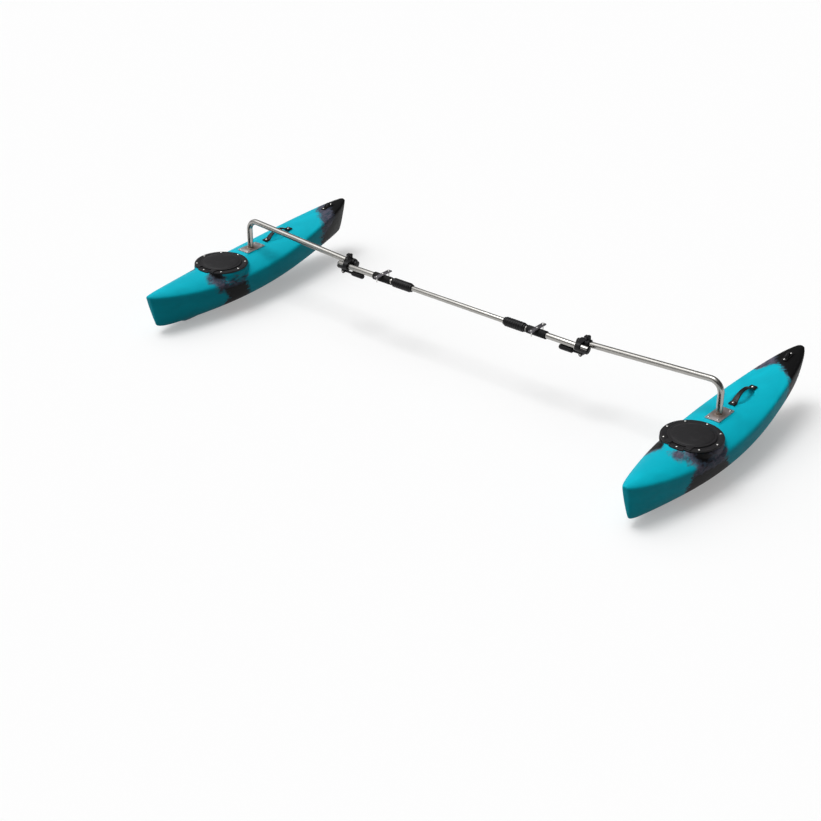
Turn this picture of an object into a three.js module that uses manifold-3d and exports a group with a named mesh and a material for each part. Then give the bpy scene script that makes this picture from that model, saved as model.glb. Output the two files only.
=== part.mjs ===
// Kayak outrigger: two hollow floats on bent tube arms, clamped to a crossbar over the kayak.
// X runs across the kayak, Y from the bows to the sterns and Z up. All sizes are millimetres.
// The origin is on the ground, under the middle of the crossbar, between the two keels.
import * as THREE from "three";
import { mergeVertices } from "three/addons/utils/BufferGeometryUtils.js";
import Module from "manifold-3d";

const wasm = await Module();
wasm.setup();

// Whole object
const floatSpan = 2100; // between the upright tubes of the two arms
const seatHeight = 176; // from the keel line up to the deck seat that carries the arm
const touchGap = 0.3; // left between pieces that rest on each other
const slideGap = 0.4; // round a tube or pin that slides or turns
const overrun = 3; // how far a cutter passes the piece that it cuts

// Float hull
const bowReach = 545; // from the upright tube to the stem
const sternReach = 545; // from the upright tube to the tip of the stern
const stemRake = 32; // how far the forefoot lies behind the stem head
const sternRake = 30; // how far the heel lies before the stern tip
const hullBeam = 222;
const hullWall = 4;
const keelWidth = 16;
const keelFront = 400; // front end of the keel strip, before the upright tube
const keelFlatFront = 350;
const keelFlatBack = 110;
const keelBack = 200;
const keelNose = 14; // height of the strip's front end, inside the hull
const keelHeel = 48; // height of its back end, inside the hull
const keelEaseFront = 16;
const keelEaseBack = 32;

// Lines of the hull: where each station lies along it, then its half beam, the height of its
// deck edge, of its deck crown and of its bottom, and how full its section is
const stationShares = [
  0, 0.008, 0.057, 0.149, 0.25, 0.351, 0.45, 0.498, 0.645, 0.792, 0.911, 0.975, 0.992, 1,
];
const beamShares = [
  0.05, 0.14, 0.33, 0.6, 0.82, 0.955, 0.997, 1, 0.9, 0.68, 0.455, 0.24, 0.14, 0.06,
];
const edgeShares = [
  0.9, 0.888, 0.845, 0.775, 0.738, 0.73, 0.75, 0.772, 0.872, 1.02, 1.12, 1.195, 1.215, 1.225,
];
const crownShares = [
  0.936, 0.938, 0.941, 0.946, 0.952, 0.965, 0.988, 0.999, 1.028, 1.1, 1.18, 1.225, 1.236, 1.24,
];
const bottomShares = [
  0.2, 0.14, 0.068, 0.035, 0.04, 0.059, 0.09, 0.111, 0.189, 0.285, 0.368, 0.43, 0.455, 0.48,
];
const fullnessShares = [
  1.8, 1.85, 1.95, 2.14, 2.34, 2.47, 2.57, 2.62, 2.7, 2.58, 2.23, 2.07, 2, 1.9,
];
const camberShare = 2.2; // how flat the middle of the deck is between its edges
const cavityEndShare = 0.035; // the part of the length at each end that is solid

// Hatch on its boss, before the upright tube
const hatchSetback = 162; // from the upright tube to the middle of the hatch
const hatchSeatDrop = 9; // the boss top lies this far below the deck seat
const flangeRadius = 102.5;
const flangeThick = 5.5;
const flangeEdge = 2;
const flangeLedge = 3; // height of the ledge that carries the gasket
const flangeMouth = 69; // radius of the clear mouth
const flangeScrewCircle = 92; // radius
const flangeScrews = 8;
const flangeWall = 3;
const flangeDepth = 24; // how far the flange's neck reaches below the boss top
const bossMargin = 1;
const bossDepth = 66;
const bossDraft = 11;
const bossShoulder = 11; // height of the upright part of the boss wall
const lidRadius = 79.8;
const lidThick = 4;
const lidRim = 2.4;
const lidDome = 6;
const lidBevel = 1.6;
const domeShares = [1, 0.92, 0.62, 0]; // rings of the dome, as shares of its radius
const gasketInset = 3.5; // from the clear mouth
const gasketWidth = 5;
const gasketThick = 2.1;
const gasketCrown = 2.5; // width of its flat top

// Hinge of the lid: two arms that reach past the front rim screw into notches in the flange
const hingeSetback = 90; // from the middle of the hatch to the hinge line
const hingeRise = 3.2; // hinge line above the boss top
const knuckleRadius = 2.7;
const hingeArmInner = 26;
const hingeArmWidth = 21;
const hingeArmThick = 3;
const hingePinRadius = 1.2;
const hingePinGrip = 13; // how far a pin reaches into the flange beside the notch

// Stainless base plate on the deck and the handle and pad eye behind it
const plateWidth = 54;
const plateLength = 98;
const plateThick = 3;
const plateShift = 4; // middle of the plate behind the upright tube
const plateScrewAcross = 34;
const plateScrewAlong = 78;
const screwHole = 2.6;
const weldWidth = 2.6;
const weldHeight = 2.2;
const weldCrest = 1.5; // height of the bead's middle
const seatMargin = 1.5; // flat deck left round a piece that is screwed down
const seatDepth = 14;
const handleFront = 77; // front end of the handle behind the upright tube
const handleLength = 150;
const handleWidth = 25;
const handleThick = 5;
const handlePad = 24;
const handleRise = 20; // underside of the arch above the deck
const seatLift = 0.8; // a small seat stands this far out of the curved deck
const scoopLength = 120;
const scoopWidth = 52;
const scoopDepth = 17;
const eyeInset = 98; // middle of the pad eye before the tip of the stern
const eyeLength = 62;
const eyeWidth = 17;
const eyeBase = 4;
const eyeBar = 6;
const eyeRise = 12; // underside of the bow above the deck
const eyeSpan = 24;
const eyeScrewSpan = 45;
const archShare = 0.75; // a curve drawn with two level handles crowns at this share of their height

// Arm tube
const tubeRadius = 11;
const tubeWall = 1.5;
const armRise = 122; // where the two straight lines of the arm cross, above the deck seat
const armDrop = 33.16; // how much lower the arm's inner end lies than that crossing
const bendRadius = 40;
const capLip = 3;
const capDepth = 14;
const capRound = 1;

// Crossbar
const barHalf = 556; // half of its length, without the end plugs' round faces
const barRise = 86; // its axis above the deck seat
const barSetback = 28; // its axis before the arm's axis
const barWall = 1.1;
const innerWall = 1.5;
const innerOverlap = 185; // how far the middle tube reaches into each end tube
const tubeStart = 236; // inner end of an end tube, from the middle
const plugDepth = 15;
const plugRound = 5;
const roundShare = 1 - Math.SQRT1_2; // how far the middle of a quarter round lies from its corner
const collarStart = 208;
const collarLength = 90;
const collarRadius = 17;
const collarNeck = 14.5;
const collarBand = 12;
const collarRib = 1;
const collarRibs = 2;
const sleeveStart = 306;
const sleeveLength = 80;
const sleeveThick = 3.2;
const strapWidth = 19;
const strapLength = 86;
const strapThick = 3;
const strapCorner = 5;
const strapEndScrew = 34; // from the bar's axis to each end screw
const strapScrewRadius = 2.1;
const strapScrewLength = 22;
const headRadius = 4.4;
const headTop = 2.2; // radius of the flat top of a screw head
const headHeight = 2.2;
const headSide = 0.7;

// Clamp that holds an arm beside the crossbar
const clampWall = 6;
const clampInset = 10; // outer face of the arm's sleeve inside the end of the bar
const armGrip = 48; // from the sleeve's outer face to the arm's inner end
const clampLength = 40;
const bandLength = 20;
const bandInset = 4; // inner face of the band outside the sleeve's inner face
const saddleLength = 26;
const splitWidth = 3;
const boltTail = 3; // how far the bolt stands out of its nut
const lugLength = 20;
const lugThick = 6;
const lugRise = 12;
const lugInset = 2; // outer side of the lugs inside the sleeve's outer face
const boltRadius = 3;
const boltHeadRadius = 5;
const boltHeadHeight = 4;
const nutRadius = 5.6;
const nutHeight = 4.6;
const pivotInset = 26; // lever pivot outside the sleeve's inner face
const pivotDrop = 22.5; // lever pivot below the bar's axis
const camRadius = 6.2;
const camWidth = 13;
const earThick = 5;
const earRadius = 7;
const pivotPinRadius = 2.4;
const leverLength = 92;
const leverNeck = 4.4;
const leverGrip = 9.5;
const leverGripLength = 56;
const leverRound = 5;
const shoeLength = 17;
const shoeWidth = 12;

// Facets
const ringSides = 32;
const collarSides = 16;
const camSides = 16;
const tubeSides = 14;
const gripSides = 12;
const smallSides = 8;
const hexSides = 6;
const hullStations = 22;
const hullBottomSteps = 12;
const hullDeckSteps = 6;
const cavityStations = 10;
const cavityBottomSteps = 8;
const cavityDeckSteps = 4;
const bendSteps = 7;
const archSteps = 12;
const bandSteps = 4;
const curveSteps = 6;
const cornerSteps = 3;
const weldedGap = 0.0001; // points closer than this become one

// Finishes
const teal = { color: 0x00a9bd, roughness: 0.42, metalness: 0 };
const blackPlastic = { color: 0x1d1c1e, roughness: 0.55, metalness: 0 };
const blackRubber = { color: 0x141416, roughness: 0.8, metalness: 0 };
const stainless = { color: 0xc9c8c6, roughness: 0.25, metalness: 1 };
const brushed = { color: 0xb7adae, roughness: 0.4, metalness: 1 };

// Solids: joins and cuts need closed meshes with shared vertices
function toSolid(geometry) {
  const bare = geometry.clone();
  bare.deleteAttribute("normal");
  bare.deleteAttribute("uv");
  const merged = mergeVertices(bare, weldedGap);
  const vertProperties = new Float32Array(merged.attributes.position.array);
  const triVerts = new Uint32Array(merged.index.array);
  return new wasm.Manifold(new wasm.Mesh({ numProp: 3, vertProperties, triVerts }));
}

function toGeometry(solid) {
  const mesh = solid.getMesh();
  const geometry = new THREE.BufferGeometry();
  const places = new Float32Array(mesh.vertProperties);
  geometry.setAttribute("position", new THREE.BufferAttribute(places, 3));
  geometry.setIndex(new THREE.BufferAttribute(new Uint32Array(mesh.triVerts), 1));
  return geometry;
}

function join(first, ...others) {
  return toGeometry(others.reduce((sum, item) => sum.add(toSolid(item)), toSolid(first)));
}

function cut(first, ...others) {
  return toGeometry(others.reduce((rest, item) => rest.subtract(toSolid(item)), toSolid(first)));
}

// Volume with its sign: negative when the faces of a closed mesh point inwards
function signedVolume(points, faces) {
  let sum = 0;
  for (const [a, b, c] of faces) {
    sum += points[a].dot(new THREE.Vector3().crossVectors(points[b], points[c]));
  }
  return sum / 6;
}

// Closed mesh from rings of points, each with the same count, with a fan over each end
function loft(rings) {
  const count = rings[0].length;
  const points = rings.flat();
  const faces = [];
  for (let i = 0; i + 1 < rings.length; i += 1) {
    for (let j = 0; j < count; j += 1) {
      const a = i * count + j;
      const b = i * count + ((j + 1) % count);
      faces.push([a, b, a + count], [b, b + count, a + count]);
    }
  }
  for (const end of [0, rings.length - 1]) {
    const middle = new THREE.Vector3();
    rings[end].forEach((point) => middle.addScaledVector(point, 1 / count));
    points.push(middle);
    for (let j = 0; j < count; j += 1) {
      const a = end * count + j;
      const b = end * count + ((j + 1) % count);
      faces.push(end === 0 ? [b, a, points.length - 1] : [a, b, points.length - 1]);
    }
  }
  const turned = signedVolume(points, faces) < 0 ? faces.map(([a, b, c]) => [a, c, b]) : faces;
  const geometry = new THREE.BufferGeometry();
  const places = points.flatMap((point) => [point.x, point.y, point.z]);
  geometry.setAttribute("position", new THREE.Float32BufferAttribute(places, 3));
  geometry.setIndex(turned.flat());
  return geometry;
}

// Radius of a polygon whose flat sides touch a circle
function roundOut(radius, sides) {
  return radius / Math.cos(Math.PI / sides);
}

// Revolved profile of [radius, height] pairs that closes on itself, standing on Z
function revolve(profile, sides) {
  const outline = profile.map(([radius, height]) => new THREE.Vector2(radius, height));
  const closed = profile[0][0] > 0 ? [...outline, outline[0].clone()] : outline;
  const geometry = new THREE.LatheGeometry(closed, sides);
  geometry.rotateX(Math.PI / 2);
  const solid = toSolid(geometry);
  return solid.volume() < 0 ? toGeometry(toSolid(flip(geometry))) : toGeometry(solid);
}

function flip(geometry) {
  const turned = geometry.clone();
  const index = turned.index.array;
  for (let i = 0; i < index.length; i += 3) {
    [index[i + 1], index[i + 2]] = [index[i + 2], index[i + 1]];
  }
  return turned;
}

// Round bar on Z from one height to another
function post(radius, bottom, top, sides) {
  const geometry = new THREE.CylinderGeometry(radius, radius, top - bottom, sides);
  geometry.rotateX(Math.PI / 2);
  return geometry.translate(0, 0, (top + bottom) / 2);
}

// Box from its two corners
function block(low, high) {
  const geometry = new THREE.BoxGeometry(high[0] - low[0], high[1] - low[1], high[2] - low[2]);
  return geometry.translate((low[0] + high[0]) / 2, (low[1] + high[1]) / 2, (low[2] + high[2]) / 2);
}

// Extrudes an outline drawn on Y and Z along X
function drawnFromEnd(outline, start, length, steps) {
  const options = { depth: length, bevelEnabled: false, curveSegments: steps };
  const geometry = new THREE.ExtrudeGeometry(outline, options);
  const turn = new THREE.Matrix4().set(0, 0, 1, start, 1, 0, 0, 0, 0, 1, 0, 0, 0, 0, 0, 1);
  return geometry.applyMatrix4(turn);
}

// Height of the two level handles of a curve that starts at one height and crowns at another
function archHandles(start, crown) {
  return start + (crown - start) / archShare;
}

// Turns a shape that stands on Z so that it lies along X or along Y
function alongX(geometry) {
  return geometry.rotateY(Math.PI / 2);
}

function alongY(geometry) {
  return geometry.rotateX(-Math.PI / 2);
}

// Smooth curve through values at rising shares, without overshoot between them
function through(shares, values, share) {
  const last = shares.length - 1;
  const rise = (i) => (values[i + 1] - values[i]) / (shares[i + 1] - shares[i]);
  const slope = (i) => {
    if (i === 0) return rise(0);
    if (i === last) return rise(last - 1);
    const before = rise(i - 1);
    const after = rise(i);
    return before * after > 0 ? (2 * before * after) / (before + after) : 0;
  };
  let i = 0;
  while (i < last - 1 && share > shares[i + 1]) i += 1;
  const step = shares[i + 1] - shares[i];
  const u = (share - shares[i]) / step;
  const start = values[i] * (1 + 2 * u) * (1 - u) ** 2 + values[i + 1] * u * u * (3 - 2 * u);
  return start + step * (slope(i) * u * (1 - u) ** 2 + slope(i + 1) * u * u * (u - 1));
}

// Hull lines at a share of the length, moved in by a wall
function hullLines(share, inset) {
  const at = (values) => through(stationShares, values, share);
  const length = bowReach + sternReach;
  return {
    half: (hullBeam / 2) * at(beamShares) - inset,
    edge: seatHeight * at(edgeShares) - inset,
    crown: seatHeight * at(crownShares) - inset,
    bottom: seatHeight * at(bottomShares) + inset,
    power: 2 / at(fullnessShares),
    deckY: share * length - bowReach,
    keelY: stemRake - bowReach + share * (length - stemRake - sternRake),
  };
}

// Points round one section: under the hull from the outer edge, then back over the deck
function hullRing(share, inset, bottomSteps, deckSteps) {
  const { half, edge, crown, bottom, power, deckY, keelY } = hullLines(share, inset);
  const ring = [];
  for (let i = 0; i <= bottomSteps; i += 1) {
    const angle = (Math.PI * i) / bottomSteps;
    const across = Math.sign(Math.cos(angle)) * Math.abs(Math.cos(angle)) ** power;
    const down = Math.abs(Math.sin(angle)) ** power;
    const x = i * 2 === bottomSteps ? 0 : half * across;
    ring.push(new THREE.Vector3(x, deckY + (keelY - deckY) * down, edge - (edge - bottom) * down));
  }
  for (let i = 1; i < deckSteps; i += 1) {
    const across = -Math.cos((Math.PI * i) / deckSteps);
    const up = 1 - Math.abs(across) ** camberShare;
    ring.push(new THREE.Vector3(half * across, deckY, edge + (crown - edge) * up));
  }
  return ring;
}

function hullSkin(inset, endShare, stations, bottomSteps, deckSteps) {
  const rings = [];
  for (let i = 0; i <= stations; i += 1) {
    const even = (1 - Math.cos((Math.PI * i) / stations)) / 2;
    const share = endShare + (1 - 2 * endShare) * even;
    rings.push(hullRing(share, inset, bottomSteps, deckSteps));
  }
  return loft(rings);
}

// Height and slope of the deck crown at a distance behind the upright tube
function deckAt(y) {
  const length = bowReach + sternReach;
  const crown = (place) => hullLines((place + bowReach) / length, 0).crown;
  const rise = crown(y + seatMargin) - crown(y - seatMargin);
  return { height: crown(y) + seatLift, tilt: Math.atan2(rise, 2 * seatMargin) };
}

// Moves a piece modelled on a flat deck to its place on the crown
function onDeck(geometry, x, y) {
  const { height, tilt } = deckAt(y);
  return geometry.rotateX(tilt).translate(x, y, height);
}

// Flat spot in the deck under a piece that is screwed down
function deckSeat(x, y, width, length) {
  const w = width / 2 + seatMargin;
  const l = length / 2 + seatMargin;
  return onDeck(block([-w, -l, -seatDepth], [w, l, 0]), x, y);
}

// Strip under the keel, with the flat on which the float stands
function keelStrip() {
  const side = new THREE.Shape();
  side.moveTo(-keelFront, keelNose);
  side.quadraticCurveTo(-keelFlatFront - keelEaseFront, 0, -keelFlatFront, 0);
  side.lineTo(keelFlatBack, 0);
  side.quadraticCurveTo(keelFlatBack + keelEaseBack, 0, keelBack, keelHeel);
  side.lineTo(-keelFront, keelHeel);
  return drawnFromEnd(side, -keelWidth / 2, keelWidth, curveSteps);
}

const hatchSeat = seatHeight - hatchSeatDrop;

// Boss under the hatch, or with a wall given the hollow inside it
function hatchBoss(wall) {
  const top = flangeRadius + bossMargin - wall;
  const profile = [
    [0, hatchSeat - bossDepth],
    [top - bossDraft, hatchSeat - bossDepth],
    [top, hatchSeat - bossShoulder],
    [top, hatchSeat - wall],
    [0, hatchSeat - wall],
  ];
  return revolve(profile, ringSides).translate(0, -hatchSetback, 0);
}

// Disc round the middle of the hatch, between two heights
function hatchDisc(radius, bottom, top) {
  return post(roundOut(radius, ringSides), bottom, top, ringSides).translate(0, -hatchSetback, 0);
}

const eyeBack = sternReach - eyeInset;
const handleBack = handleFront + handleLength;
const frontPadY = handleFront + handlePad / 2;
const backPadY = handleBack - handlePad / 2;
const scoopY = handleFront + handleLength / 2;

// Moves a piece modelled along the handle to its place: on the line between its two pads
function onHandle(geometry) {
  const front = deckAt(frontPadY).height;
  const back = deckAt(backPadY).height;
  const tilt = Math.atan2(back - front, backPadY - frontPadY);
  return geometry.rotateX(tilt).translate(0, scoopY, (front + back) / 2);
}

function handleSeats() {
  const w = handleWidth / 2 + seatMargin;
  const end = handleLength / 2 + seatMargin;
  const foot = handleLength / 2 - handlePad - seatMargin;
  const front = block([-w, -end, -seatDepth], [w, -foot, 0]);
  const back = block([-w, foot, -seatDepth], [w, end, 0]);
  return [onHandle(front), onHandle(back)];
}

// Oval bowl under the handle for the fingers, or with a wall given the shell round it
function scoopBowl(wall) {
  const bowl = new THREE.SphereGeometry(1, ringSides / 2, smallSides);
  bowl.scale(scoopWidth / 2 + wall, scoopLength / 2 + wall, scoopDepth + wall);
  return bowl.translate(0, scoopY, deckAt(scoopY).height - seatLift);
}

function plateSeat() {
  const w = plateWidth / 2 + seatMargin;
  const l = plateLength / 2 + seatMargin;
  return block([-w, plateShift - l, seatHeight - seatDepth], [w, plateShift + l, seatHeight]);
}

// Hollow of the hull: it leaves a wall round the skin, the boss, the plate's seat and the bowl
function hullCavity() {
  const shelf = hatchDisc(flangeRadius + bossMargin + hullWall, hatchSeat - hullWall, seatHeight);
  const hollow = join(
    hullSkin(hullWall, cavityEndShare, cavityStations, cavityBottomSteps, cavityDeckSteps),
    hatchBoss(hullWall),
  );
  return cut(hollow, shelf, plateSeat(), scoopBowl(hullWall));
}

// Rotomoulded shell with its boss, seats and keel, open only at the mouth of the hatch
function floatHull() {
  const outer = join(
    hullSkin(0, 0, hullStations, hullBottomSteps, hullDeckSteps),
    hatchBoss(0),
    plateSeat(),
    ...handleSeats(),
    deckSeat(0, eyeBack, eyeWidth, eyeLength),
    keelStrip(),
  );
  return cut(
    outer,
    hullCavity(),
    hatchDisc(flangeMouth + flangeWall + touchGap, hatchSeat - bossDepth / 2, hatchSeat + overrun),
    hatchDisc(flangeRadius + touchGap, hatchSeat, seatHeight + seatDepth),
    plateSeat().translate(0, 0, seatDepth),
    scoopBowl(0),
  );
}

const ledgeRadius = lidRadius + slideGap;
const pinHole = roundOut(hingePinRadius + touchGap, hexSides);

// Piece for one hinge arm, from its inner side outwards, with the same room added on both sides
function hingeBlock(side, room, low, high) {
  const near = side * (hingeArmInner - room);
  const far = side * (hingeArmInner + hingeArmWidth + room);
  const left = Math.min(near, far);
  const right = Math.max(near, far);
  return block([left, low[0], low[1]], [right, high[0], high[1]]);
}

// Round bar on the hinge line, from one distance off the middle to another
function hingeBar(side, radius, from, to, sides) {
  const bar = alongX(post(radius, from, to, sides));
  if (side < 0) bar.rotateZ(Math.PI);
  return bar.translate(0, -hingeSetback, hingeRise);
}

function flangeHoles() {
  const holes = [];
  for (let i = 0; i < flangeScrews; i += 1) {
    const angle = (2 * Math.PI * i) / flangeScrews;
    const hole = post(screwHole, -overrun, flangeThick + overrun, hexSides);
    hole.translate(flangeScrewCircle * Math.cos(angle), flangeScrewCircle * Math.sin(angle), 0);
    holes.push(hole);
  }
  return holes;
}

// Notches for the two hinge arms, with a blind hole for a pin beside each
function hingeNotches() {
  const back = knuckleRadius + 2 * slideGap - hingeSetback;
  const pinEnd = hingeArmInner - hingePinGrip - touchGap;
  return [1, -1].flatMap((side) => [
    hingeBlock(side, slideGap, [-flangeRadius - overrun, -overrun], [back, flangeThick + overrun]),
    hingeBar(side, pinHole, pinEnd, hingeArmInner + overrun, hexSides),
  ]);
}

// Flange: ring with a ledge for the gasket, a neck, eight screw holes and two hinge notches
function hatchFlange() {
  const neck = flangeMouth + flangeWall;
  const ledge = roundOut(ledgeRadius, ringSides);
  const ring = revolve([
    [flangeMouth, -flangeDepth],
    [neck, -flangeDepth],
    [neck, touchGap],
    [flangeRadius, touchGap],
    [flangeRadius, flangeThick - flangeEdge],
    [flangeRadius - flangeEdge, flangeThick],
    [ledge, flangeThick],
    [ledge, flangeLedge],
    [flangeMouth, flangeLedge],
  ], ringSides);
  return cut(ring, ...flangeHoles(), ...hingeNotches());
}

function hatchGasket() {
  const inner = flangeMouth + gasketInset;
  const low = flangeLedge + touchGap;
  const slope = (gasketWidth - gasketCrown) / 2;
  return revolve([
    [inner, low],
    [inner + gasketWidth, low],
    [inner + gasketWidth - slope, low + gasketThick],
    [inner + slope, low + gasketThick],
  ], ringSides);
}

const lidLow = flangeLedge + touchGap + gasketThick + touchGap;

// Dish of the lid: a rim that presses on the gasket and a dome of even thickness
function lidDish() {
  const rimTop = lidLow + lidRim;
  const rise = (share) => rimTop + lidBevel / 2 + lidDome * (1 - share * share);
  const dome = domeShares.map((share) => [(lidRadius - lidBevel) * share, rise(share)]);
  const inner = lidRadius - lidThick;
  const hollow = domeShares.slice(1).map((share) => [inner * share, rise(share) - lidThick]);
  const foot = [inner * domeShares[1] + lidBevel, lidLow];
  return revolve([...hollow.reverse(), foot, [lidRadius, lidLow], [lidRadius, rimTop], ...dome], ringSides);
}

// Hinge arm from the knuckle up over the flange to the rim of the lid
function hingeArm(side) {
  const low = flangeThick + slideGap;
  const far = hingeArmInner + hingeArmWidth;
  const inside = lidThick - Math.sqrt((lidRadius - lidThick) ** 2 - far ** 2);
  const arm = hingeBlock(side, 0, [-hingeSetback, low], [inside, low + hingeArmThick]);
  const knuckle = hingeBar(side, knuckleRadius, hingeArmInner, far, smallSides);
  const stemEnd = [knuckleRadius - hingeSetback, low + hingeArmThick];
  const stem = hingeBlock(side, 0, [-hingeSetback, hingeRise], stemEnd);
  return join(arm, knuckle, stem);
}

function hatchLid() {
  const span = hingeArmInner + hingeArmWidth + overrun;
  const bore = hingeBar(1, pinHole, -span, span, hexSides);
  return cut(join(lidDish(), hingeArm(1), hingeArm(-1)), bore);
}

function hingePin(side) {
  const end = hingeArmInner + hingeArmWidth;
  return hingeBar(side, hingePinRadius, hingeArmInner - hingePinGrip, end, hexSides);
}

// Base plate with four holes and the weld bead round the foot of the arm
function basePlate() {
  const w = plateWidth / 2;
  const l = plateLength / 2;
  const plate = block([-w, plateShift - l, touchGap], [w, plateShift + l, plateThick]);
  const weldInner = roundOut(tubeRadius + touchGap, collarSides);
  const weld = revolve([
    [weldInner, plateThick - touchGap],
    [weldInner + weldWidth, plateThick - touchGap],
    [weldInner + weldWidth, plateThick],
    [weldInner + weldWidth / 2, plateThick + weldCrest],
    [weldInner, plateThick + weldHeight],
  ], collarSides);
  const holes = [];
  for (const x of [-plateScrewAcross / 2, plateScrewAcross / 2]) {
    for (const y of [plateShift - plateScrewAlong / 2, plateShift + plateScrewAlong / 2]) {
      holes.push(post(screwHole, -overrun, plateThick + overrun, smallSides).translate(x, y, 0));
    }
  }
  return cut(join(plate, weld), ...holes);
}

// Strap handle: two flat pads and an arch between them, drawn from the side
function strapHandle() {
  const half = handleLength / 2;
  const foot = half - handlePad;
  const lean = foot - handlePad;
  const under = archHandles(touchGap, handleRise);
  const over = archHandles(handleThick, handleRise + handleThick);
  const side = new THREE.Shape();
  side.moveTo(-half, touchGap);
  side.lineTo(-foot, touchGap);
  side.bezierCurveTo(-lean, under, lean, under, foot, touchGap);
  side.lineTo(half, touchGap);
  side.lineTo(half, handleThick);
  side.lineTo(foot, handleThick);
  side.bezierCurveTo(lean, over, -lean, over, -foot, handleThick);
  side.lineTo(-half, handleThick);
  return onHandle(drawnFromEnd(side, -handleWidth / 2, handleWidth, archSteps));
}

// Pad eye: a flat base with a low bow over it that takes a line
function padEye() {
  const w = eyeWidth / 2;
  const base = block([-w, -eyeLength / 2, touchGap], [w, eyeLength / 2, eyeBase]);
  const inner = eyeSpan / 2;
  const outer = inner + eyeBar;
  const foot = eyeBase / 2;
  const over = archHandles(foot, eyeRise + eyeBar);
  const under = archHandles(foot, eyeRise);
  const side = new THREE.Shape();
  side.moveTo(-outer, foot);
  side.bezierCurveTo(-inner, over, inner, over, outer, foot);
  side.lineTo(inner, foot);
  side.bezierCurveTo(inner - eyeBar, under, eyeBar - inner, under, -inner, foot);
  const bow = drawnFromEnd(side, -eyeBar / 2, eyeBar, smallSides);
  const screws = [-eyeScrewSpan / 2, eyeScrewSpan / 2].map((y) =>
    post(screwHole, -overrun, eyeBase + overrun, smallSides).translate(0, y, 0));
  return onDeck(cut(join(base, bow), ...screws), 0, eyeBack);
}

// The clamp follows the end of the crossbar, and the arm reaches from its float into the clamp
const clampEnd = barHalf - clampInset;
const armStart = clampEnd - armGrip;
const armReach = floatSpan / 2 - armStart;

// Middle line of an arm: up from the plate, round the bend and down to its inner end.
// The shares are not even in length, so that the bend gets nearly all of the steps.
const armSlope = Math.atan2(armDrop, armReach);
const armTurn = Math.PI / 2 + armSlope;
const bendSetback = bendRadius * Math.tan(armTurn / 2);
const armFoot = plateThick + touchGap;

class ArmLine extends THREE.Curve {
  heading(share) {
    const straight = 1 / (bendSteps + 2);
    return armTurn * THREE.MathUtils.clamp((share - straight) / (1 - 2 * straight), 0, 1);
  }

  getPoint(share) {
    const heading = this.heading(share);
    const x = -bendRadius * (1 - Math.cos(heading));
    const z = armRise - bendSetback + bendRadius * Math.sin(heading);
    const place = new THREE.Vector3(x, 0, z);
    if (share === 0) place.z = armFoot;
    if (share === 1) place.set(-armReach, 0, armRise - armDrop);
    return place;
  }

  getTangent(share) {
    const heading = this.heading(share);
    return new THREE.Vector3(-Math.sin(heading), 0, Math.cos(heading));
  }

  getPointAt(share) {
    return this.getPoint(share);
  }

  getTangentAt(share) {
    return this.getTangent(share);
  }
}

function tubeSection(outer, inner) {
  const ring = new THREE.Shape();
  ring.absarc(0, 0, outer, 0, Math.PI * 2);
  const hole = new THREE.Path();
  hole.absarc(0, 0, inner, 0, Math.PI * 2, true);
  ring.holes.push(hole);
  return ring;
}

function armTube() {
  const options = { steps: bendSteps + 2, curveSegments: tubeSides / 2, extrudePath: new ArmLine() };
  return new THREE.ExtrudeGeometry(tubeSection(tubeRadius, tubeRadius - tubeWall), options);
}

// Frame of the arm's straight stretch: X points back out along the arm
function onArm(geometry, distance) {
  geometry.translate(distance, 0, 0);
  return geometry.rotateY(-armSlope).translate(-armReach, 0, armRise - armDrop);
}

function armCap() {
  const fit = tubeRadius - tubeWall - touchGap;
  const cap = revolve([
    [0, -capLip - touchGap],
    [tubeRadius - capRound, -capLip - touchGap],
    [tubeRadius, -touchGap - capLip / 2],
    [tubeRadius, -touchGap],
    [fit, -touchGap],
    [fit, capDepth],
    [0, capDepth],
  ], tubeSides);
  return onArm(alongX(cap), 0);
}

// Crossbar, in its own frame: its axis is X and its middle is the origin
const innerRadius = tubeRadius - barWall - slideGap;

function straightTube(outer, inner, start, end) {
  const options = { depth: end - start, bevelEnabled: false, curveSegments: tubeSides / 2 };
  const tube = new THREE.ExtrudeGeometry(tubeSection(outer, inner), options);
  return alongX(tube).translate(start, 0, 0);
}

function middleTube() {
  const half = tubeStart + innerOverlap;
  return straightTube(innerRadius, innerRadius - innerWall, -half, half);
}

function endPlug() {
  const fit = tubeRadius - barWall - touchGap;
  const flat = tubeRadius - plugRound;
  const slant = plugRound * roundShare;
  const plug = revolve([
    [0, -plugDepth],
    [fit, -plugDepth],
    [fit, touchGap],
    [tubeRadius, touchGap],
    [tubeRadius - slant, plugRound - slant],
    [flat, plugRound],
    [0, plugRound],
  ], tubeSides);
  return alongX(plug).translate(barHalf, 0, 0);
}

// Lock collar: it grips the middle tube with one end and screws on the end tube with the other
function lockCollar() {
  const step = tubeStart - touchGap - collarStart;
  const narrow = roundOut(innerRadius + slideGap, collarSides);
  const wide = roundOut(tubeRadius + touchGap, collarSides);
  const profile = [
    [wide, step],
    [narrow, step],
    [narrow, 0],
    [collarNeck - collarRib, 0],
    [collarNeck, collarRib],
    [collarNeck, collarBand / 2],
    [collarRadius, collarBand / 2 + collarRib],
  ];
  const pitch = (collarLength - 2 * collarBand) / collarRibs;
  for (let i = 0; i < collarRibs; i += 1) {
    const from = collarBand + i * pitch;
    profile.push([collarRadius, from], [collarRadius - collarRib, from + collarRib]);
    profile.push([collarRadius - collarRib, from + 2 * collarRib], [collarRadius, from + 3 * collarRib]);
  }
  profile.push(
    [collarRadius, collarLength - collarBand],
    [collarNeck, collarLength - collarBand / 2],
    [collarNeck, collarLength],
    [wide, collarLength],
  );
  return alongX(revolve(profile, collarSides)).translate(collarStart, 0, 0);
}

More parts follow.
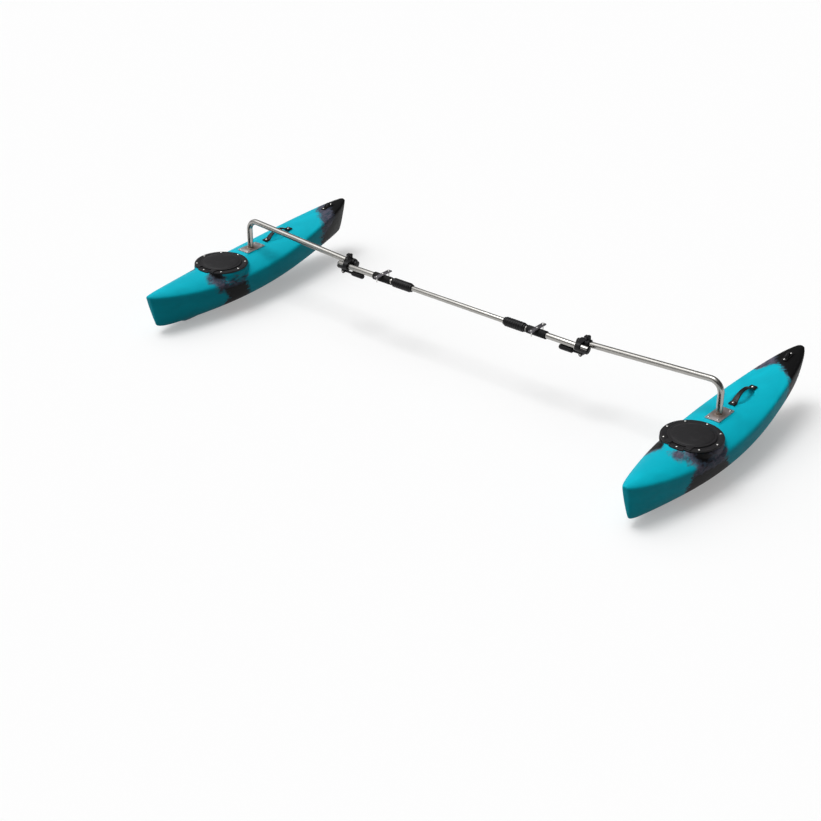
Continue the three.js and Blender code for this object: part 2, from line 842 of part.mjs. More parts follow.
const sleeveRadius = tubeRadius + touchGap + sleeveThick;
const strapX = sleeveStart + sleeveLength / 2;
const strapLow = sleeveRadius + touchGap;

// Rubber sleeve that lies in the kayak's gunwale, with the hole for the middle strap screw
function gunwaleSleeve() {
  const inner = roundOut(tubeRadius + touchGap, collarSides);
  const sleeve = alongX(revolve([
    [inner, 0],
    [sleeveRadius - collarRib, 0],
    [sleeveRadius, collarRib],
    [sleeveRadius, sleeveLength - collarRib],
    [sleeveRadius - collarRib, sleeveLength],
    [inner, sleeveLength],
  ], collarSides)).translate(sleeveStart, 0, 0);
  const hole = post(screwHole, tubeRadius, sleeveRadius + overrun, smallSides).translate(strapX, 0, 0);
  return cut(sleeve, hole);
}

// Flat strap across the sleeve, with three screws in line along the kayak
function gunwaleStrap() {
  const w = strapWidth / 2 - strapCorner;
  const l = strapLength / 2 - strapCorner;
  const outline = new THREE.Shape();
  outline.absarc(w, l, strapCorner, 0, Math.PI / 2);
  outline.absarc(-w, l, strapCorner, Math.PI / 2, Math.PI);
  outline.absarc(-w, -l, strapCorner, Math.PI, 1.5 * Math.PI);
  outline.absarc(w, -l, strapCorner, 1.5 * Math.PI, 2 * Math.PI);
  const options = { depth: strapThick, bevelEnabled: false, curveSegments: cornerSteps };
  const strap = new THREE.ExtrudeGeometry(outline, options).translate(strapX, 0, strapLow);
  const top = strapLow + strapThick;
  const holes = [-strapEndScrew, 0, strapEndScrew].map((y) =>
    post(screwHole, strapLow - overrun, top + overrun, smallSides).translate(strapX, y, 0));
  return cut(strap, ...holes);
}

// Screw in the strap; the middle one ends just above the crossbar, the others go into the kayak
function strapScrew(place) {
  const seat = strapLow + strapThick + touchGap;
  const under = place === 0 ? seat - tubeRadius - touchGap : strapScrewLength;
  const screw = revolve([
    [0, -under],
    [strapScrewRadius, -under],
    [strapScrewRadius, 0],
    [headRadius, 0],
    [headRadius, headSide],
    [headTop, headHeight],
    [0, headHeight],
  ], smallSides);
  return screw.translate(strapX, place * strapEndScrew, seat);
}

// Clamp, in the crossbar's frame; the arm lies behind the bar and a little higher
const clampStart = clampEnd - clampLength;
const clampRadius = tubeRadius + clampWall;
const pivotX = clampStart + pivotInset;
const lugMiddle = clampEnd - lugInset - lugLength / 2;
const boltRise = clampRadius + lugRise / 2;

// Moves what is modelled on the arm's axis, measured from its inner end, into the bar's frame
function armToBar(geometry) {
  geometry.rotateY(-armSlope);
  return geometry.translate(armStart, barSetback, armRise - armDrop - barRise);
}

// Round-ended outline round both tubes, drawn on Y and Z
function bandOutline(x) {
  const lift = armRise - armDrop - barRise + (x - armStart) * Math.tan(armSlope);
  const lean = Math.atan2(lift, barSetback);
  const outline = new THREE.Shape();
  outline.absarc(0, 0, clampRadius, lean + Math.PI / 2, lean + Math.PI * 1.5);
  outline.absarc(barSetback, lift, clampRadius, lean - Math.PI / 2, lean + Math.PI / 2);
  return outline;
}

const bandStart = clampStart + bandInset;
const bandEnd = bandStart + bandLength;
const saddleEnd = bandEnd + saddleLength;
const sleeveFrom = clampStart - armStart;
const sleeveTo = clampEnd - armStart;
const lugHalf = splitWidth / 2 + lugThick;
const earHalf = camWidth / 2 + slideGap + earThick;

// Sleeve round the arm with the two lugs that pinch it
function clampSleeve() {
  const from = lugMiddle - armStart - lugLength / 2;
  const lugs = block([from, -lugHalf, 0], [from + lugLength, lugHalf, clampRadius + lugRise]);
  const sleeve = alongX(post(clampRadius, sleeveFrom, sleeveTo, collarSides));
  return armToBar(join(sleeve, lugs));
}

// Half shell under the bar, beside the band
function clampSaddle() {
  const wide = clampRadius + overrun;
  const barrel = alongX(post(clampRadius, bandEnd, saddleEnd, collarSides));
  return cut(barrel, block([bandStart, -wide, 0], [saddleEnd + overrun, wide, wide]));
}

// Ear for the lever's pin, on one side of the cam
function leverEar(side) {
  const half = earThick / 2;
  const round = alongY(post(earRadius, -half, half, camSides)).translate(0, 0, -pivotDrop);
  const web = block([-earRadius, -half, -pivotDrop], [earRadius, half, -tubeRadius - slideGap]);
  return join(round, web).translate(pivotX, side * (earHalf - half), 0);
}

// What is cut out of the clamp for the arm: its bore, the split beside it and the bolt's hole
function armCuts() {
  const bore = roundOut(tubeRadius + touchGap, collarSides);
  const low = sleeveFrom - overrun;
  const high = sleeveTo + overrun;
  const hole = alongY(post(boltRadius + touchGap, -lugHalf - overrun, lugHalf + overrun, smallSides));
  const split = block([low, -splitWidth / 2, 0], [high, splitWidth / 2, clampRadius + lugRise + overrun]);
  return [
    armToBar(alongX(post(bore, low, high, collarSides))),
    armToBar(split),
    armToBar(hole.translate(lugMiddle - armStart, 0, boltRise)),
  ];
}

// What is cut out for the bar and its cam: the bore, the shoe's window and the pin's hole
function barCuts() {
  const bore = roundOut(tubeRadius + touchGap, collarSides);
  const w = shoeLength / 2 + slideGap;
  const d = shoeWidth / 2 + slideGap;
  const window = block([-w, -d, -pivotDrop - overrun], [w, d, overrun - tubeRadius]);
  const hole = alongY(post(pivotPinRadius + touchGap, -earHalf - overrun, earHalf + overrun, smallSides));
  return [
    alongX(post(bore, clampStart, Math.max(clampEnd, saddleEnd) + overrun, collarSides)),
    window.translate(pivotX, 0, 0),
    hole.translate(pivotX, 0, -pivotDrop),
  ];
}

function clampBody() {
  const outline = bandOutline((bandStart + bandEnd) / 2);
  const band = drawnFromEnd(outline, bandStart, bandLength, bandSteps);
  const whole = join(clampSleeve(), band, clampSaddle(), leverEar(-1), leverEar(1));
  return cut(whole, ...barCuts(), ...armCuts());
}

function pinchBolt() {
  const face = lugHalf + touchGap;
  const shank = post(boltRadius, -face - boltHeadHeight / 2, face + nutHeight + boltTail, smallSides);
  const head = post(boltHeadRadius, -face - boltHeadHeight, -face, hexSides);
  return armToBar(alongY(join(shank, head)).translate(lugMiddle - armStart, 0, boltRise));
}

function pinchNut() {
  const low = lugHalf + touchGap;
  const bore = roundOut(boltRadius + touchGap, smallSides);
  const hole = post(bore, low - overrun, low + nutHeight + overrun, smallSides);
  const nut = cut(post(nutRadius, low, low + nutHeight, hexSides), hole);
  return armToBar(alongY(nut).translate(lugMiddle - armStart, 0, boltRise));
}

// Shoe that the cam presses up against the bar
function clampShoe() {
  const w = shoeLength / 2;
  const d = shoeWidth / 2;
  const low = camRadius + touchGap - pivotDrop;
  return block([-w, -d, low], [w, d, -tubeRadius - touchGap]).translate(pivotX, 0, 0);
}

// Lever: a round cam on its pin, a neck and a thicker grip that lies along the bar
function camLever() {
  const cam = alongY(post(camRadius, -camWidth / 2, camWidth / 2, camSides));
  const gripFrom = leverLength - leverGripLength;
  const slant = leverRound * roundShare;
  const grip = revolve([
    [0, 0],
    [leverNeck, 0],
    [leverNeck, gripFrom],
    [leverGrip, gripFrom + leverRound],
    [leverGrip, leverLength - leverRound],
    [leverGrip - slant, leverLength - slant],
    [leverGrip - leverRound, leverLength],
    [0, leverLength],
  ], gripSides);
  const bore = roundOut(pivotPinRadius + touchGap, smallSides);
  const hole = alongY(post(bore, -camWidth, camWidth, smallSides));
  return cut(join(cam, grip.rotateY(-Math.PI / 2)), hole).translate(pivotX, 0, -pivotDrop);
}

function leverPin() {
  return alongY(post(pivotPinRadius, -earHalf, earHalf, smallSides)).translate(pivotX, 0, -pivotDrop);
}

// Assembly. Pieces are modelled for the side at plus X; the other side is their mirror image.
function mirrored(geometry) {
  return flip(toGeometry(toSolid(geometry)).scale(-1, 1, 1));
}

function addPiece(group, name, geometry, finish) {
  const material = new THREE.MeshStandardMaterial({ ...finish, flatShading: true });
  const mesh = new THREE.Mesh(geometry, material);
  mesh.name = name;
  group.add(mesh);
}

const outrigger = new THREE.Group();
const crossbar = new THREE.Group();
crossbar.position.set(0, -barSetback, seatHeight + barRise);
outrigger.add(crossbar);
addPiece(crossbar, "middle_tube", middleTube(), stainless);

// Pieces in the crossbar's frame, which come in mirrored pairs
const barPieces = [
  ["end_tube", straightTube(tubeRadius, tubeRadius - barWall, tubeStart, barHalf), stainless],
  ["end_plug", endPlug(), blackPlastic],
  ["lock_collar", lockCollar(), blackPlastic],
  ["gunwale_sleeve", gunwaleSleeve(), blackRubber],
  ["gunwale_strap", gunwaleStrap(), brushed],
  ["strap_screw_front", strapScrew(-1), stainless],
  ["strap_screw_middle", strapScrew(0), stainless],
  ["strap_screw_back", strapScrew(1), stainless],
  ["clamp_body", clampBody(), blackPlastic],
  ["clamp_shoe", clampShoe(), blackRubber],
  ["clamp_lever", camLever(), blackPlastic],
  ["lever_pin", leverPin(), stainless],
  ["pinch_bolt", pinchBolt(), stainless],
  ["pinch_nut", pinchNut(), stainless],
];

// Pieces on the arm's foot, in a frame whose origin is the deck seat under the upright tube
const armPieces = [
  ["arm_tube", armTube(), stainless],
  ["arm_cap", armCap(), blackPlastic],
];

// The two floats are the same moulding with the same fittings, so these are not mirrored
const floatPieces = [
  ["float_hull", floatHull(), teal],
  ["base_plate", basePlate().translate(0, 0, seatHeight), brushed],
  ["deck_handle", strapHandle(), blackPlastic],
  ["pad_eye", padEye(), blackPlastic],
];
const hatchPieces = [
  ["hatch_flange", hatchFlange(), blackPlastic],
  ["hatch_gasket", hatchGasket(), blackRubber],
  ["hatch_lid", hatchLid(), blackPlastic],
  ["hinge_pin_inner", hingePin(-1), stainless],
  ["hinge_pin_outer", hingePin(1), stainless],
];

for (const side of [1, -1]) {
  const end = side > 0 ? "right" : "left";
  const float = new THREE.Group();
  float.position.x = (side * floatSpan) / 2;
  const arm = new THREE.Group();
  arm.position.z = seatHeight;
  const hatch = new THREE.Group();
  hatch.position.set(0, -hatchSetback, hatchSeat);
  float.add(arm, hatch);
  outrigger.add(float);
  const addHanded = (group, [name, geometry, finish]) =>
    addPiece(group, `${end}_${name}`, side > 0 ? geometry : mirrored(geometry), finish);
  const addSame = (group, [name, geometry, finish]) =>
    addPiece(group, `${end}_${name}`, geometry, finish);
  barPieces.forEach((piece) => addHanded(crossbar, piece));
  armPieces.forEach((piece) => addHanded(arm, piece));
  floatPieces.forEach((piece) => addSame(float, piece));
  hatchPieces.forEach((piece) => addSame(hatch, piece));
}

export default outrigger;
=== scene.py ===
# %% [markdown]
# # A kayak outrigger
# Two hollow plastic floats stand at the ends of a long crossbar. Each one carries a bent steel
# arm, and a clamp holds the arm beside the bar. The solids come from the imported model. This file
# gives them the shapes and finishes of the real pieces.

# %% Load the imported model
import math

import bmesh
import bpy
from mathutils import Matrix, Vector


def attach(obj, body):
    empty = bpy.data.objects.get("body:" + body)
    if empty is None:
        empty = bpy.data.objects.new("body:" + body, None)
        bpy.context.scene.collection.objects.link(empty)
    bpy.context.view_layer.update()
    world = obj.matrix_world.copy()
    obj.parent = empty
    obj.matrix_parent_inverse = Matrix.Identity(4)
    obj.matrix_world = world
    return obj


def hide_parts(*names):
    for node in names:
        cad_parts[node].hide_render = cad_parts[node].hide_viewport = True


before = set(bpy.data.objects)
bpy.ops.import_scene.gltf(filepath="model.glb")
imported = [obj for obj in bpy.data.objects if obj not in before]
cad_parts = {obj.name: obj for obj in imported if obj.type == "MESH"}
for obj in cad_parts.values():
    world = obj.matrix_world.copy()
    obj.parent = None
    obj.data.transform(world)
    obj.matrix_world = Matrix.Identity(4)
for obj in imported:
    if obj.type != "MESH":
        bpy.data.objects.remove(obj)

scene = bpy.context.scene
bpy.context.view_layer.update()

# %% [markdown]
# ## Camera
# The photograph looks down on the outrigger from the front right. A camera can be placed by eye
# or fitted to points that are seen in the picture. It is fitted here, to the plates, tubes and
# hull ends, so its place, its turn and its lens stand as plain values.

# %% Camera at the photograph's angle
CAMERA_PLACE = (3.3336, -4.3139, 2.8394)
CAMERA_TILT, CAMERA_HEADING = math.radians(61.02), math.radians(39.63)
LENS, SENSOR = 74.51, 36.0
camera_data = bpy.data.cameras.new("camera")
camera_data.sensor_width = SENSOR
camera_data.lens = LENS
camera = bpy.data.objects.new("camera", camera_data)
camera.location = CAMERA_PLACE
camera.rotation_euler = (CAMERA_TILT, 0.0, CAMERA_HEADING)
scene.collection.objects.link(camera)
scene.camera = camera
print("camera stands", round(camera.location.length, 2), "m from the middle of the model")

# %% [markdown]
# ## Shader maths
# A finish is a small sum: a colour here, a darker one there, noise in between. Node by node that
# takes many lines, so one class wraps an output of a node and lets Python's own signs add the
# Math nodes. Every other node comes from one method that sets it up and feeds its sockets.


# %% A shader value with arithmetic
class Value:
    def __init__(self, finish, socket):
        self.finish = finish
        self.socket = socket

    def maths(self, operation, *inputs):
        sockets = dict(enumerate(inputs))
        return self.finish.node("ShaderNodeMath", {"operation": operation}, sockets)

    def __add__(self, other):
        return self.maths("ADD", self, other)

    __radd__ = __add__

    def __mul__(self, other):
        return self.maths("MULTIPLY", self, other)

    __rmul__ = __mul__

    def __sub__(self, other):
        return self.maths("SUBTRACT", self, other)

    def __rsub__(self, other):
        return self.maths("SUBTRACT", other, self)

    def __truediv__(self, other):
        return self.maths("DIVIDE", self, other)

    def __abs__(self):
        return self.maths("ABSOLUTE", self)

    def at_least(self, other):
        return self.maths("MAXIMUM", self, other)

    def at_most(self, other):
        return self.maths("MINIMUM", self, other)

    def ramp(self, low, high):
        """0 below low, 1 above high, and a soft step between them."""
        settings = {"interpolation_type": "SMOOTHSTEP"}
        sockets = {"Value": self, "From Min": low, "From Max": high}
        return self.finish.node("ShaderNodeMapRange", settings, sockets)


# %% A finish: one material, or the sky, that is put together from nodes
class Finish:
    def __init__(self, holder):
        holder.use_nodes = True
        self.holder = holder
        self.tree = holder.node_tree
        self.tree.nodes.clear()

    def node(self, kind, settings=None, sockets=None, output=0):
        made = self.tree.nodes.new(kind)
        for key, value in (settings or {}).items():
            if key == "stops":
                ramp = made.color_ramp
                while len(ramp.elements) < len(value):
                    ramp.elements.new(1.0)
                for element, (place, colour) in zip(ramp.elements, value):
                    element.position = place
                    element.color = colour
            else:
                setattr(made, key, value)
        for key, value in (sockets or {}).items():
            if isinstance(value, Value):
                self.tree.links.new(value.socket, made.inputs[key])
            else:
                made.inputs[key].default_value = value
        return Value(self, made.outputs[output]) if made.outputs else None

    def place(self, centre=(0, 0, 0), scale=(1, 1, 1)):
        """Object coordinates, moved to a centre and stretched."""
        point = self.node("ShaderNodeTexCoord", output="Object")
        moved_by = [-c * s for c, s in zip(centre, scale)]
        sockets = {"Vector": point, "Location": moved_by, "Scale": scale}
        return self.node("ShaderNodeMapping", None, sockets)

    def axes(self, point):
        return [self.node("ShaderNodeSeparateXYZ", None, {"Vector": point}, axis)
                for axis in range(3)]

    def noise(self, point, scale, detail=3.0, rough=0.55, warp=0.0):
        sockets = {"Vector": point, "Scale": scale, "Detail": detail, "Roughness": rough,
                   "Distortion": warp}
        return self.node("ShaderNodeTexNoise", None, sockets)

    def mix(self, amount, first, second):
        settings = {"data_type": "RGBA"}
        return self.node("ShaderNodeMix", settings, {0: amount, 6: first, 7: second}, 2)

    def bump(self, height, distance, strength=1.0):
        sockets = {"Height": height, "Distance": distance, "Strength": strength}
        return self.node("ShaderNodeBump", None, sockets)

    def surface(self, **sockets):
        named = {name.replace("_", " "): value for name, value in sockets.items()}
        shader = self.node("ShaderNodeBsdfPrincipled", None, named)
        self.node("ShaderNodeOutputMaterial", None, {"Surface": shader})
        return self.holder


def new_finish(name):
    return Finish(bpy.data.materials.new(name))


def colour(red, green, blue):
    """A screen colour from 0 to 255 as the linear one that shaders take."""
    def linear(level):
        level /= 255
        return level / 12.92 if level <= 0.04045 else ((level + 0.055) / 1.055) ** 2.4
    return (linear(red), linear(green), linear(blue), 1.0)


# %% [markdown]
# ## Floor and light
# The object is shown on plain white paper under one soft light from above, and its sides lie in
# deep shade. A bright lamp could wash the paper out to white, but it would wash the object out as
# well. So the paper is white by its colour and by a faint glow that lifts its shadows. The camera
# and mirrors see both, while the scattered light that it throws back at the object is that of a
# darker floor. A wide sun, nearly overhead, lights the floor evenly. The sky glows over the left
# front and is dim elsewhere, which draws the long glints on the tubes and leaves the far sides
# in shade.

# %% Floor
FLOOR_HALF = 60.0
floor_bm = bmesh.new()
bmesh.ops.create_grid(floor_bm, x_segments=1, y_segments=1, size=FLOOR_HALF)
floor_mesh = bpy.data.meshes.new("floor")
floor_bm.to_mesh(floor_mesh)
floor_bm.free()
floor = bpy.data.objects.new("floor", floor_mesh)
scene.collection.objects.link(floor)
paper = new_finish("paper")
SCATTERED, WHITE, GLOW, DARK = [colour(level, level, level) for level in (116, 205, 157, 0)]
rays = [paper.node("ShaderNodeLightPath", output=f"Is {kind} Ray")
        for kind in ("Camera", "Glossy", "Transmission")]
seen = (rays[0] + rays[1] + rays[2]).at_most(1)
floor_mesh.materials.append(paper.surface(
    Base_Color=paper.mix(seen, SCATTERED, WHITE), Roughness=1.0, Specular_IOR_Level=0.0,
    Emission_Color=paper.mix(seen, DARK, GLOW), Emission_Strength=1.0))
print("floor", FLOOR_HALF * 2, "m wide")

# %% Sky
LIGHT_FROM = Vector((-0.45, -0.2, 0.87)).normalized()
SKY_DIM, SKY_RIM, SKY_TOP, SKY_CORE = 0.11, 0.26, 1.3, 1.9
# how high the rim's glow reaches, and how near to the light's direction the other two begin and end
RIM_REACH, TOP_REACH, CORE_REACH = (0.0, 0.3), (0.5, 0.95), (0.92, 0.99)
sky = Finish(bpy.data.worlds.new("sky"))
scene.world = sky.holder
x, y, z = sky.axes(sky.node("ShaderNodeTexCoord", output="Generated"))
toward = x * LIGHT_FROM.x + y * LIGHT_FROM.y + z * LIGHT_FROM.z
glow = SKY_DIM + SKY_RIM * (1 - z.ramp(*RIM_REACH))
glow = glow + SKY_TOP * toward.ramp(*TOP_REACH) + SKY_CORE * toward.ramp(*CORE_REACH)
sky_light = sky.node("ShaderNodeBackground", None, {"Strength": glow})
sky.node("ShaderNodeOutputWorld", None, {"Surface": sky_light})
scene.view_settings.view_transform = "Standard"
print("sky from", SKY_DIM, "to", SKY_DIM + SKY_TOP + SKY_CORE)

# %% Sun
SUN_FROM = Vector((-0.2, -0.2, 0.96))
SUN_STRENGTH, SUN_WIDTH = 1.42, math.radians(28)
sun_data = bpy.data.lights.new("sun", "SUN")
sun_data.energy = SUN_STRENGTH
sun_data.angle = SUN_WIDTH
sun = bpy.data.objects.new("sun", sun_data)
sun.rotation_euler = (-SUN_FROM).to_track_quat("-Z", "Y").to_euler()
scene.collection.objects.link(sun)
print("sun stands", round(math.degrees(SUN_FROM.angle((0, 0, 1)))), "degrees from overhead")

# %% [markdown]
# ## Meshes and pieces
# Pieces are modelled in millimetres, each in the place where it is easiest to draw, and then
# moved. A finished piece keeps its place in its mesh, so that its object stays at the origin and
# a pattern on it never slides. The helpers below make round things by spinning a profile, make
# boxes, round off sharp edges, and hand a finished piece to the body that it moves with.

# %% Shapes to start from
# points of a mesh that lie this near, in millimetres, are one
SAME_POINT = 0.001


def spun(profile, steps=64, closed=False):
    """A profile of (radius, height) pairs, turned once round Z."""
    bm = bmesh.new()
    verts = [bm.verts.new((radius, 0, height)) for radius, height in profile]
    pairs = list(zip(verts, verts[1:])) + ([(verts[-1], verts[0])] if closed else [])
    edges = [bm.edges.new(pair) for pair in pairs]
    bmesh.ops.spin(bm, geom=verts + edges, axis=(0, 0, 1), cent=(0, 0, 0), angle=math.tau,
                   steps=steps, use_merge=True)
    bmesh.ops.remove_doubles(bm, verts=bm.verts, dist=SAME_POINT)
    bmesh.ops.recalc_face_normals(bm, faces=bm.faces)
    return bm


def box(low, high):
    """A box from its two corners."""
    middle = [(a + b) / 2 for a, b in zip(low, high)]
    size = [b - a for a, b in zip(low, high)]
    bm = bmesh.new()
    bmesh.ops.create_cube(bm, size=1.0, matrix=shift(*middle) @ Matrix.Diagonal((*size, 1)))
    return bm


def disc(radius, low, high, steps=96):
    """A round bar that stands on Z."""
    return spun([(0, low), (radius, low), (radius, high), (0, high)], steps)


# %% Moving, turning and joining shapes
def moved(bm, *matrices):
    for matrix in matrices:
        bmesh.ops.transform(bm, matrix=matrix, verts=bm.verts)
    return bm


def shift(x=0.0, y=0.0, z=0.0):
    return Matrix.Translation((x, y, z))


def turn(degrees, axis):
    return Matrix.Rotation(math.radians(degrees), 4, axis)


def joined(*parts):
    """Several bmeshes in one, as they lie."""
    whole = bmesh.new()
    for part in parts:
        whole.from_mesh(mesh_of(part))
    return whole


def mesh_of(bm):
    mesh = bpy.data.meshes.new("work")
    bm.to_mesh(mesh)
    bm.free()
    return mesh


# %% Rounding off edges
def eased(bm, width, steps=2, sharper=30):
    """Rounds off the edges whose faces meet at more than an angle."""
    bm.normal_update()
    edges = [e for e in bm.edges if e.is_manifold and e.calc_face_angle(0) > math.radians(sharper)]
    bmesh.ops.bevel(bm, geom=edges, offset=width, segments=steps, profile=0.5, affect="EDGES",
                    material=-1, clamp_overlap=True)
    return bm


# %% Work that a modifier does
def after(mesh, kind, **settings):
    """The mesh after one modifier."""
    holder = bpy.data.objects.new("work", mesh)
    scene.collection.objects.link(holder)
    modifier = holder.modifiers.new("work", kind)
    for key, value in settings.items():
        setattr(modifier, key, value)
    graph = bpy.context.evaluated_depsgraph_get()
    result = bpy.data.meshes.new_from_object(holder.evaluated_get(graph))
    bpy.data.objects.remove(holder)
    return result


def carved(mesh, *cutters):
    """The mesh with the cutters taken out of it."""
    for cutter in cutters:
        tool = bpy.data.objects.new("cutter", mesh_of(cutter))
        scene.collection.objects.link(tool)
        mesh = after(mesh, "BOOLEAN", object=tool, operation="DIFFERENCE", solver="EXACT",
                     use_self=True)
        bpy.data.objects.remove(tool)
    return mesh


def moulded(mesh, grain, passes):
    """One skin over shapes that overlap, with its inner corners and edges softened."""
    mesh = after(mesh, "REMESH", mode="VOXEL", voxel_size=grain)
    return mesh_of(softened(copy_of(mesh), passes))


def softened(bm, passes):
    for _ in range(passes):
        bmesh.ops.smooth_vert(bm, verts=bm.verts, factor=0.5, use_axis_x=True, use_axis_y=True,
                              use_axis_z=True)
    return bm


def copy_of(mesh):
    bm = bmesh.new()
    bm.from_mesh(mesh)
    return bm


# %% A finished piece
MM = 0.001


def piece(name, shape, body, finish, stands_for=(), smooth=35):
    """Makes an object from a bmesh in millimetres and ties it to its body."""
    bmesh.ops.remove_doubles(shape, verts=shape.verts, dist=SAME_POINT / 2)
    bmesh.ops.recalc_face_normals(shape, faces=shape.faces)
    bmesh.ops.scale(shape, vec=(MM, MM, MM), verts=shape.verts)
    mesh = bpy.data.meshes.new(name)
    shape.to_mesh(mesh)
    shape.free()
    mesh.shade_smooth()
    mesh.set_sharp_from_angle(angle=math.radians(smooth))
    mesh.materials.append(finish)
    made = bpy.data.objects.new(name, mesh)
    scene.collection.objects.link(made)
    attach(made, body)
    if stands_for:
        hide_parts(*stands_for)
    return made


# %% The same piece on both sides
SIDES = {"right": 1, "left": -1}
FLOAT_X = 1050.0


def on_both_sides(place, name, mesh, finishes, nodes, body, smooth):
    for side, sign in SIDES.items():
        finish = finishes[side] if isinstance(finishes, dict) else finishes
        shape = moved(copy_of(mesh), place(sign))
        stands_for = [f"{side}_{node}" for node in nodes]
        piece(f"{side}_{name}", shape, f"{side}_{body}", finish, stands_for, smooth)


def on_both_floats(name, mesh, finishes, nodes=(), body="float", smooth=35):
    """The same piece on each float: the floats are one moulding, so nothing is mirrored."""
    def over_float(sign):
        return shift(x=sign * FLOAT_X)
    on_both_sides(over_float, name, mesh, finishes, nodes, body, smooth)


def on_both_ends(name, mesh, finishes, nodes=(), body="bar_end", smooth=35):
    """A piece that is drawn for the right side, and its mirror image on the left."""
    def mirrored(sign):
        return Matrix.Diagonal((sign, 1, 1, 1))
    on_both_sides(mirrored, name, mesh, finishes, nodes, body, smooth)


# %% [markdown]
# ## Coloured plastic of the floats
# A float is moulded from plastic powder in two colours, tumbled together in a hot mould. Where
# the second powder lay, at the stern and under the hatch, the teal turns black along a feathered,
# marbled edge. Paint on the surface would have a clean border, so the finish works out
# how far a point lies inside the black powder and lets stretched noise push that border about.

# %% Where the black powder lay, in metres from the ground under each upright tube
# widths over which the borders, the powder's depth and the patch's top blend
BLEND, DEEP_BLEND, TOP_BLEND = 0.03, 0.015, 0.0375
# the stern's border: where it meets the deck's ridge, and how far it leans forward from there
STERN_BORDER, RIDGE_X, EDGE_X = 0.4, -0.012, 0.052
OUTER_LEAN, EDGE_LEAN, INNER_REACH = 0.65, 1.2, 0.04
DECK_LOW, DECK_RISE = 0.13, 0.036
POWDER = {
    "right": {
        # the patch's front and back borders: y, a height, and how fast the border leans past it
        "front": (-0.290, 0.12, 1.0), "back": (-0.116, 0.10, 1.0), "top": 0.30,
        # spots beside the patch: where, and how far they reach
        "spots": [((-0.080, -0.272, 0.140), 0.044), ((0.022, -0.284, 0.166), 0.020),
                  ((0.070, -0.246, 0.150), 0.034)],
        # how the stern's borders, of the powder and of its depth, lean on the deck's inner half
        "stern_inner": (-1.5, 1.2),
        # the powder is deepest below this height, this far behind the stern's border, and here
        "deep_below": 0.108, "deep_behind": 0.004,
        "deep_spots": [((0.078, -0.222, 0.152), 0.028), ((-0.082, -0.25, 0.150), 0.04)],
    },
    "left": {
        "front": (-0.219, 0.07, -0.5), "back": (-0.132, 0.10, 0.5), "top": 0.140,
        "spots": [((0.072, -0.252, 0.150), 0.034), ((0.094, -0.243, 0.128), 0.030),
                  ((-0.07, -0.25, 0.150), 0.020)],
        "stern_inner": (1.0, 1.0),
        "deep_below": 0.116, "deep_behind": 0.07, "deep_spots": [((0.055, -0.240, 0.160), 0.020)],
    },
}


# %% Colours and noises of the hulls
TEALS = colour(0, 172, 192), colour(0, 185, 205)
GREYS = colour(52, 66, 80), colour(98, 92, 108)
BLACKS = colour(9, 9, 10), colour(30, 28, 33)
# each noise along the hull: stretch, scale, detail, roughness and distortion
FLOW, BROAD, MARBLE = (0.5, 42, 6, 0.66, 0.9), (0.6, 11, 2, 0.5, 0.5), (0.4, 70, 4, 0.62, 1.6)
SCUFF = (0.08, 160, 2, 0.5)
STIPPLE_SCALE, STIPPLE_DEPTH = 900, 0.00012
print("teal runs from", [round(level, 3) for level in TEALS[0]], "to a little lighter")


# %% Finish of the hulls
def hull_finish(side):
    finish = new_finish(f"{side}_hull_plastic")
    centre = (SIDES[side] * FLOAT_X * MM, 0, 0)
    lay = POWDER[side]
    point = finish.place(centre)
    x, y, z = finish.axes(point)

    def near(spot, reach):
        settings = {"operation": "DISTANCE"}
        far = finish.node("ShaderNodeVectorMath", settings, {0: point, 1: spot}, "Value")
        return (reach - far) / BLEND

    def along_hull(stretch, *settings):
        return finish.noise(finish.place(centre, (1.0, stretch, 1.0)), *settings)

    # how far inside the powder a point lies, in blends
    outer = STERN_BORDER - OUTER_LEAN * (x - RIDGE_X).at_least(0).at_most(EDGE_X - RIDGE_X)
    outer = outer - EDGE_LEAN * (x - EDGE_X).at_least(0)
    inner = (RIDGE_X - x).at_least(0).at_most(INNER_REACH)
    inner_lean, deep_lean = lay["stern_inner"]
    stern = (y - outer - inner_lean * inner) / BLEND
    deck = (z - DECK_LOW).at_least(0).at_most(DECK_RISE) / DECK_RISE
    deep_stern = (y - outer - deep_lean * inner - lay["deep_behind"] * deck) / BLEND
    front, knee, lean = lay["front"]
    front = front + lean * (z - knee).at_least(0)
    back, knee, lean = lay["back"]
    back = back + lean * (knee - z).at_least(0)
    patch = ((y - front).at_most(back - y) / BLEND).at_most((lay["top"] - z) / TOP_BLEND)
    cover = stern.at_least(patch)
    for spot, reach in lay["spots"]:
        cover = cover.at_least(near(spot, reach))
    depth = deep_stern.at_least(patch.at_most((lay["deep_below"] - z) / DEEP_BLEND))
    for spot, reach in lay["deep_spots"]:
        depth = depth.at_least(near(spot, reach))
    # noise that is drawn out along the hull pushes the borders about
    flow = along_hull(*FLOW) - 0.5
    broad, marble = along_hull(*BROAD), along_hull(*MARBLE)
    cover = cover + flow * 2.8 + (broad - 0.5) * 1.3
    depth = depth + flow * 2.0 + (marble - 0.5) * 2.2
    teal = finish.mix(broad.ramp(0.3, 0.75), *TEALS)
    grey = finish.mix(marble.ramp(0.36, 0.66), *GREYS)
    black = finish.mix(marble.ramp(0.55, 0.8), *BLACKS)
    skin = finish.mix(cover.ramp(-0.5, 0.42), teal, grey)
    skin = finish.mix(depth.ramp(-0.45, 0.4), skin, black)
    stipple = finish.noise(finish.place(), STIPPLE_SCALE, 2, 0.5)
    scuff = along_hull(*SCUFF)
    return finish.surface(
        Base_Color=skin, Roughness=0.46 + 0.16 * scuff, Specular_IOR_Level=0.12,
        Normal=finish.bump(stipple * 0.7 + scuff * 0.5, STIPPLE_DEPTH))


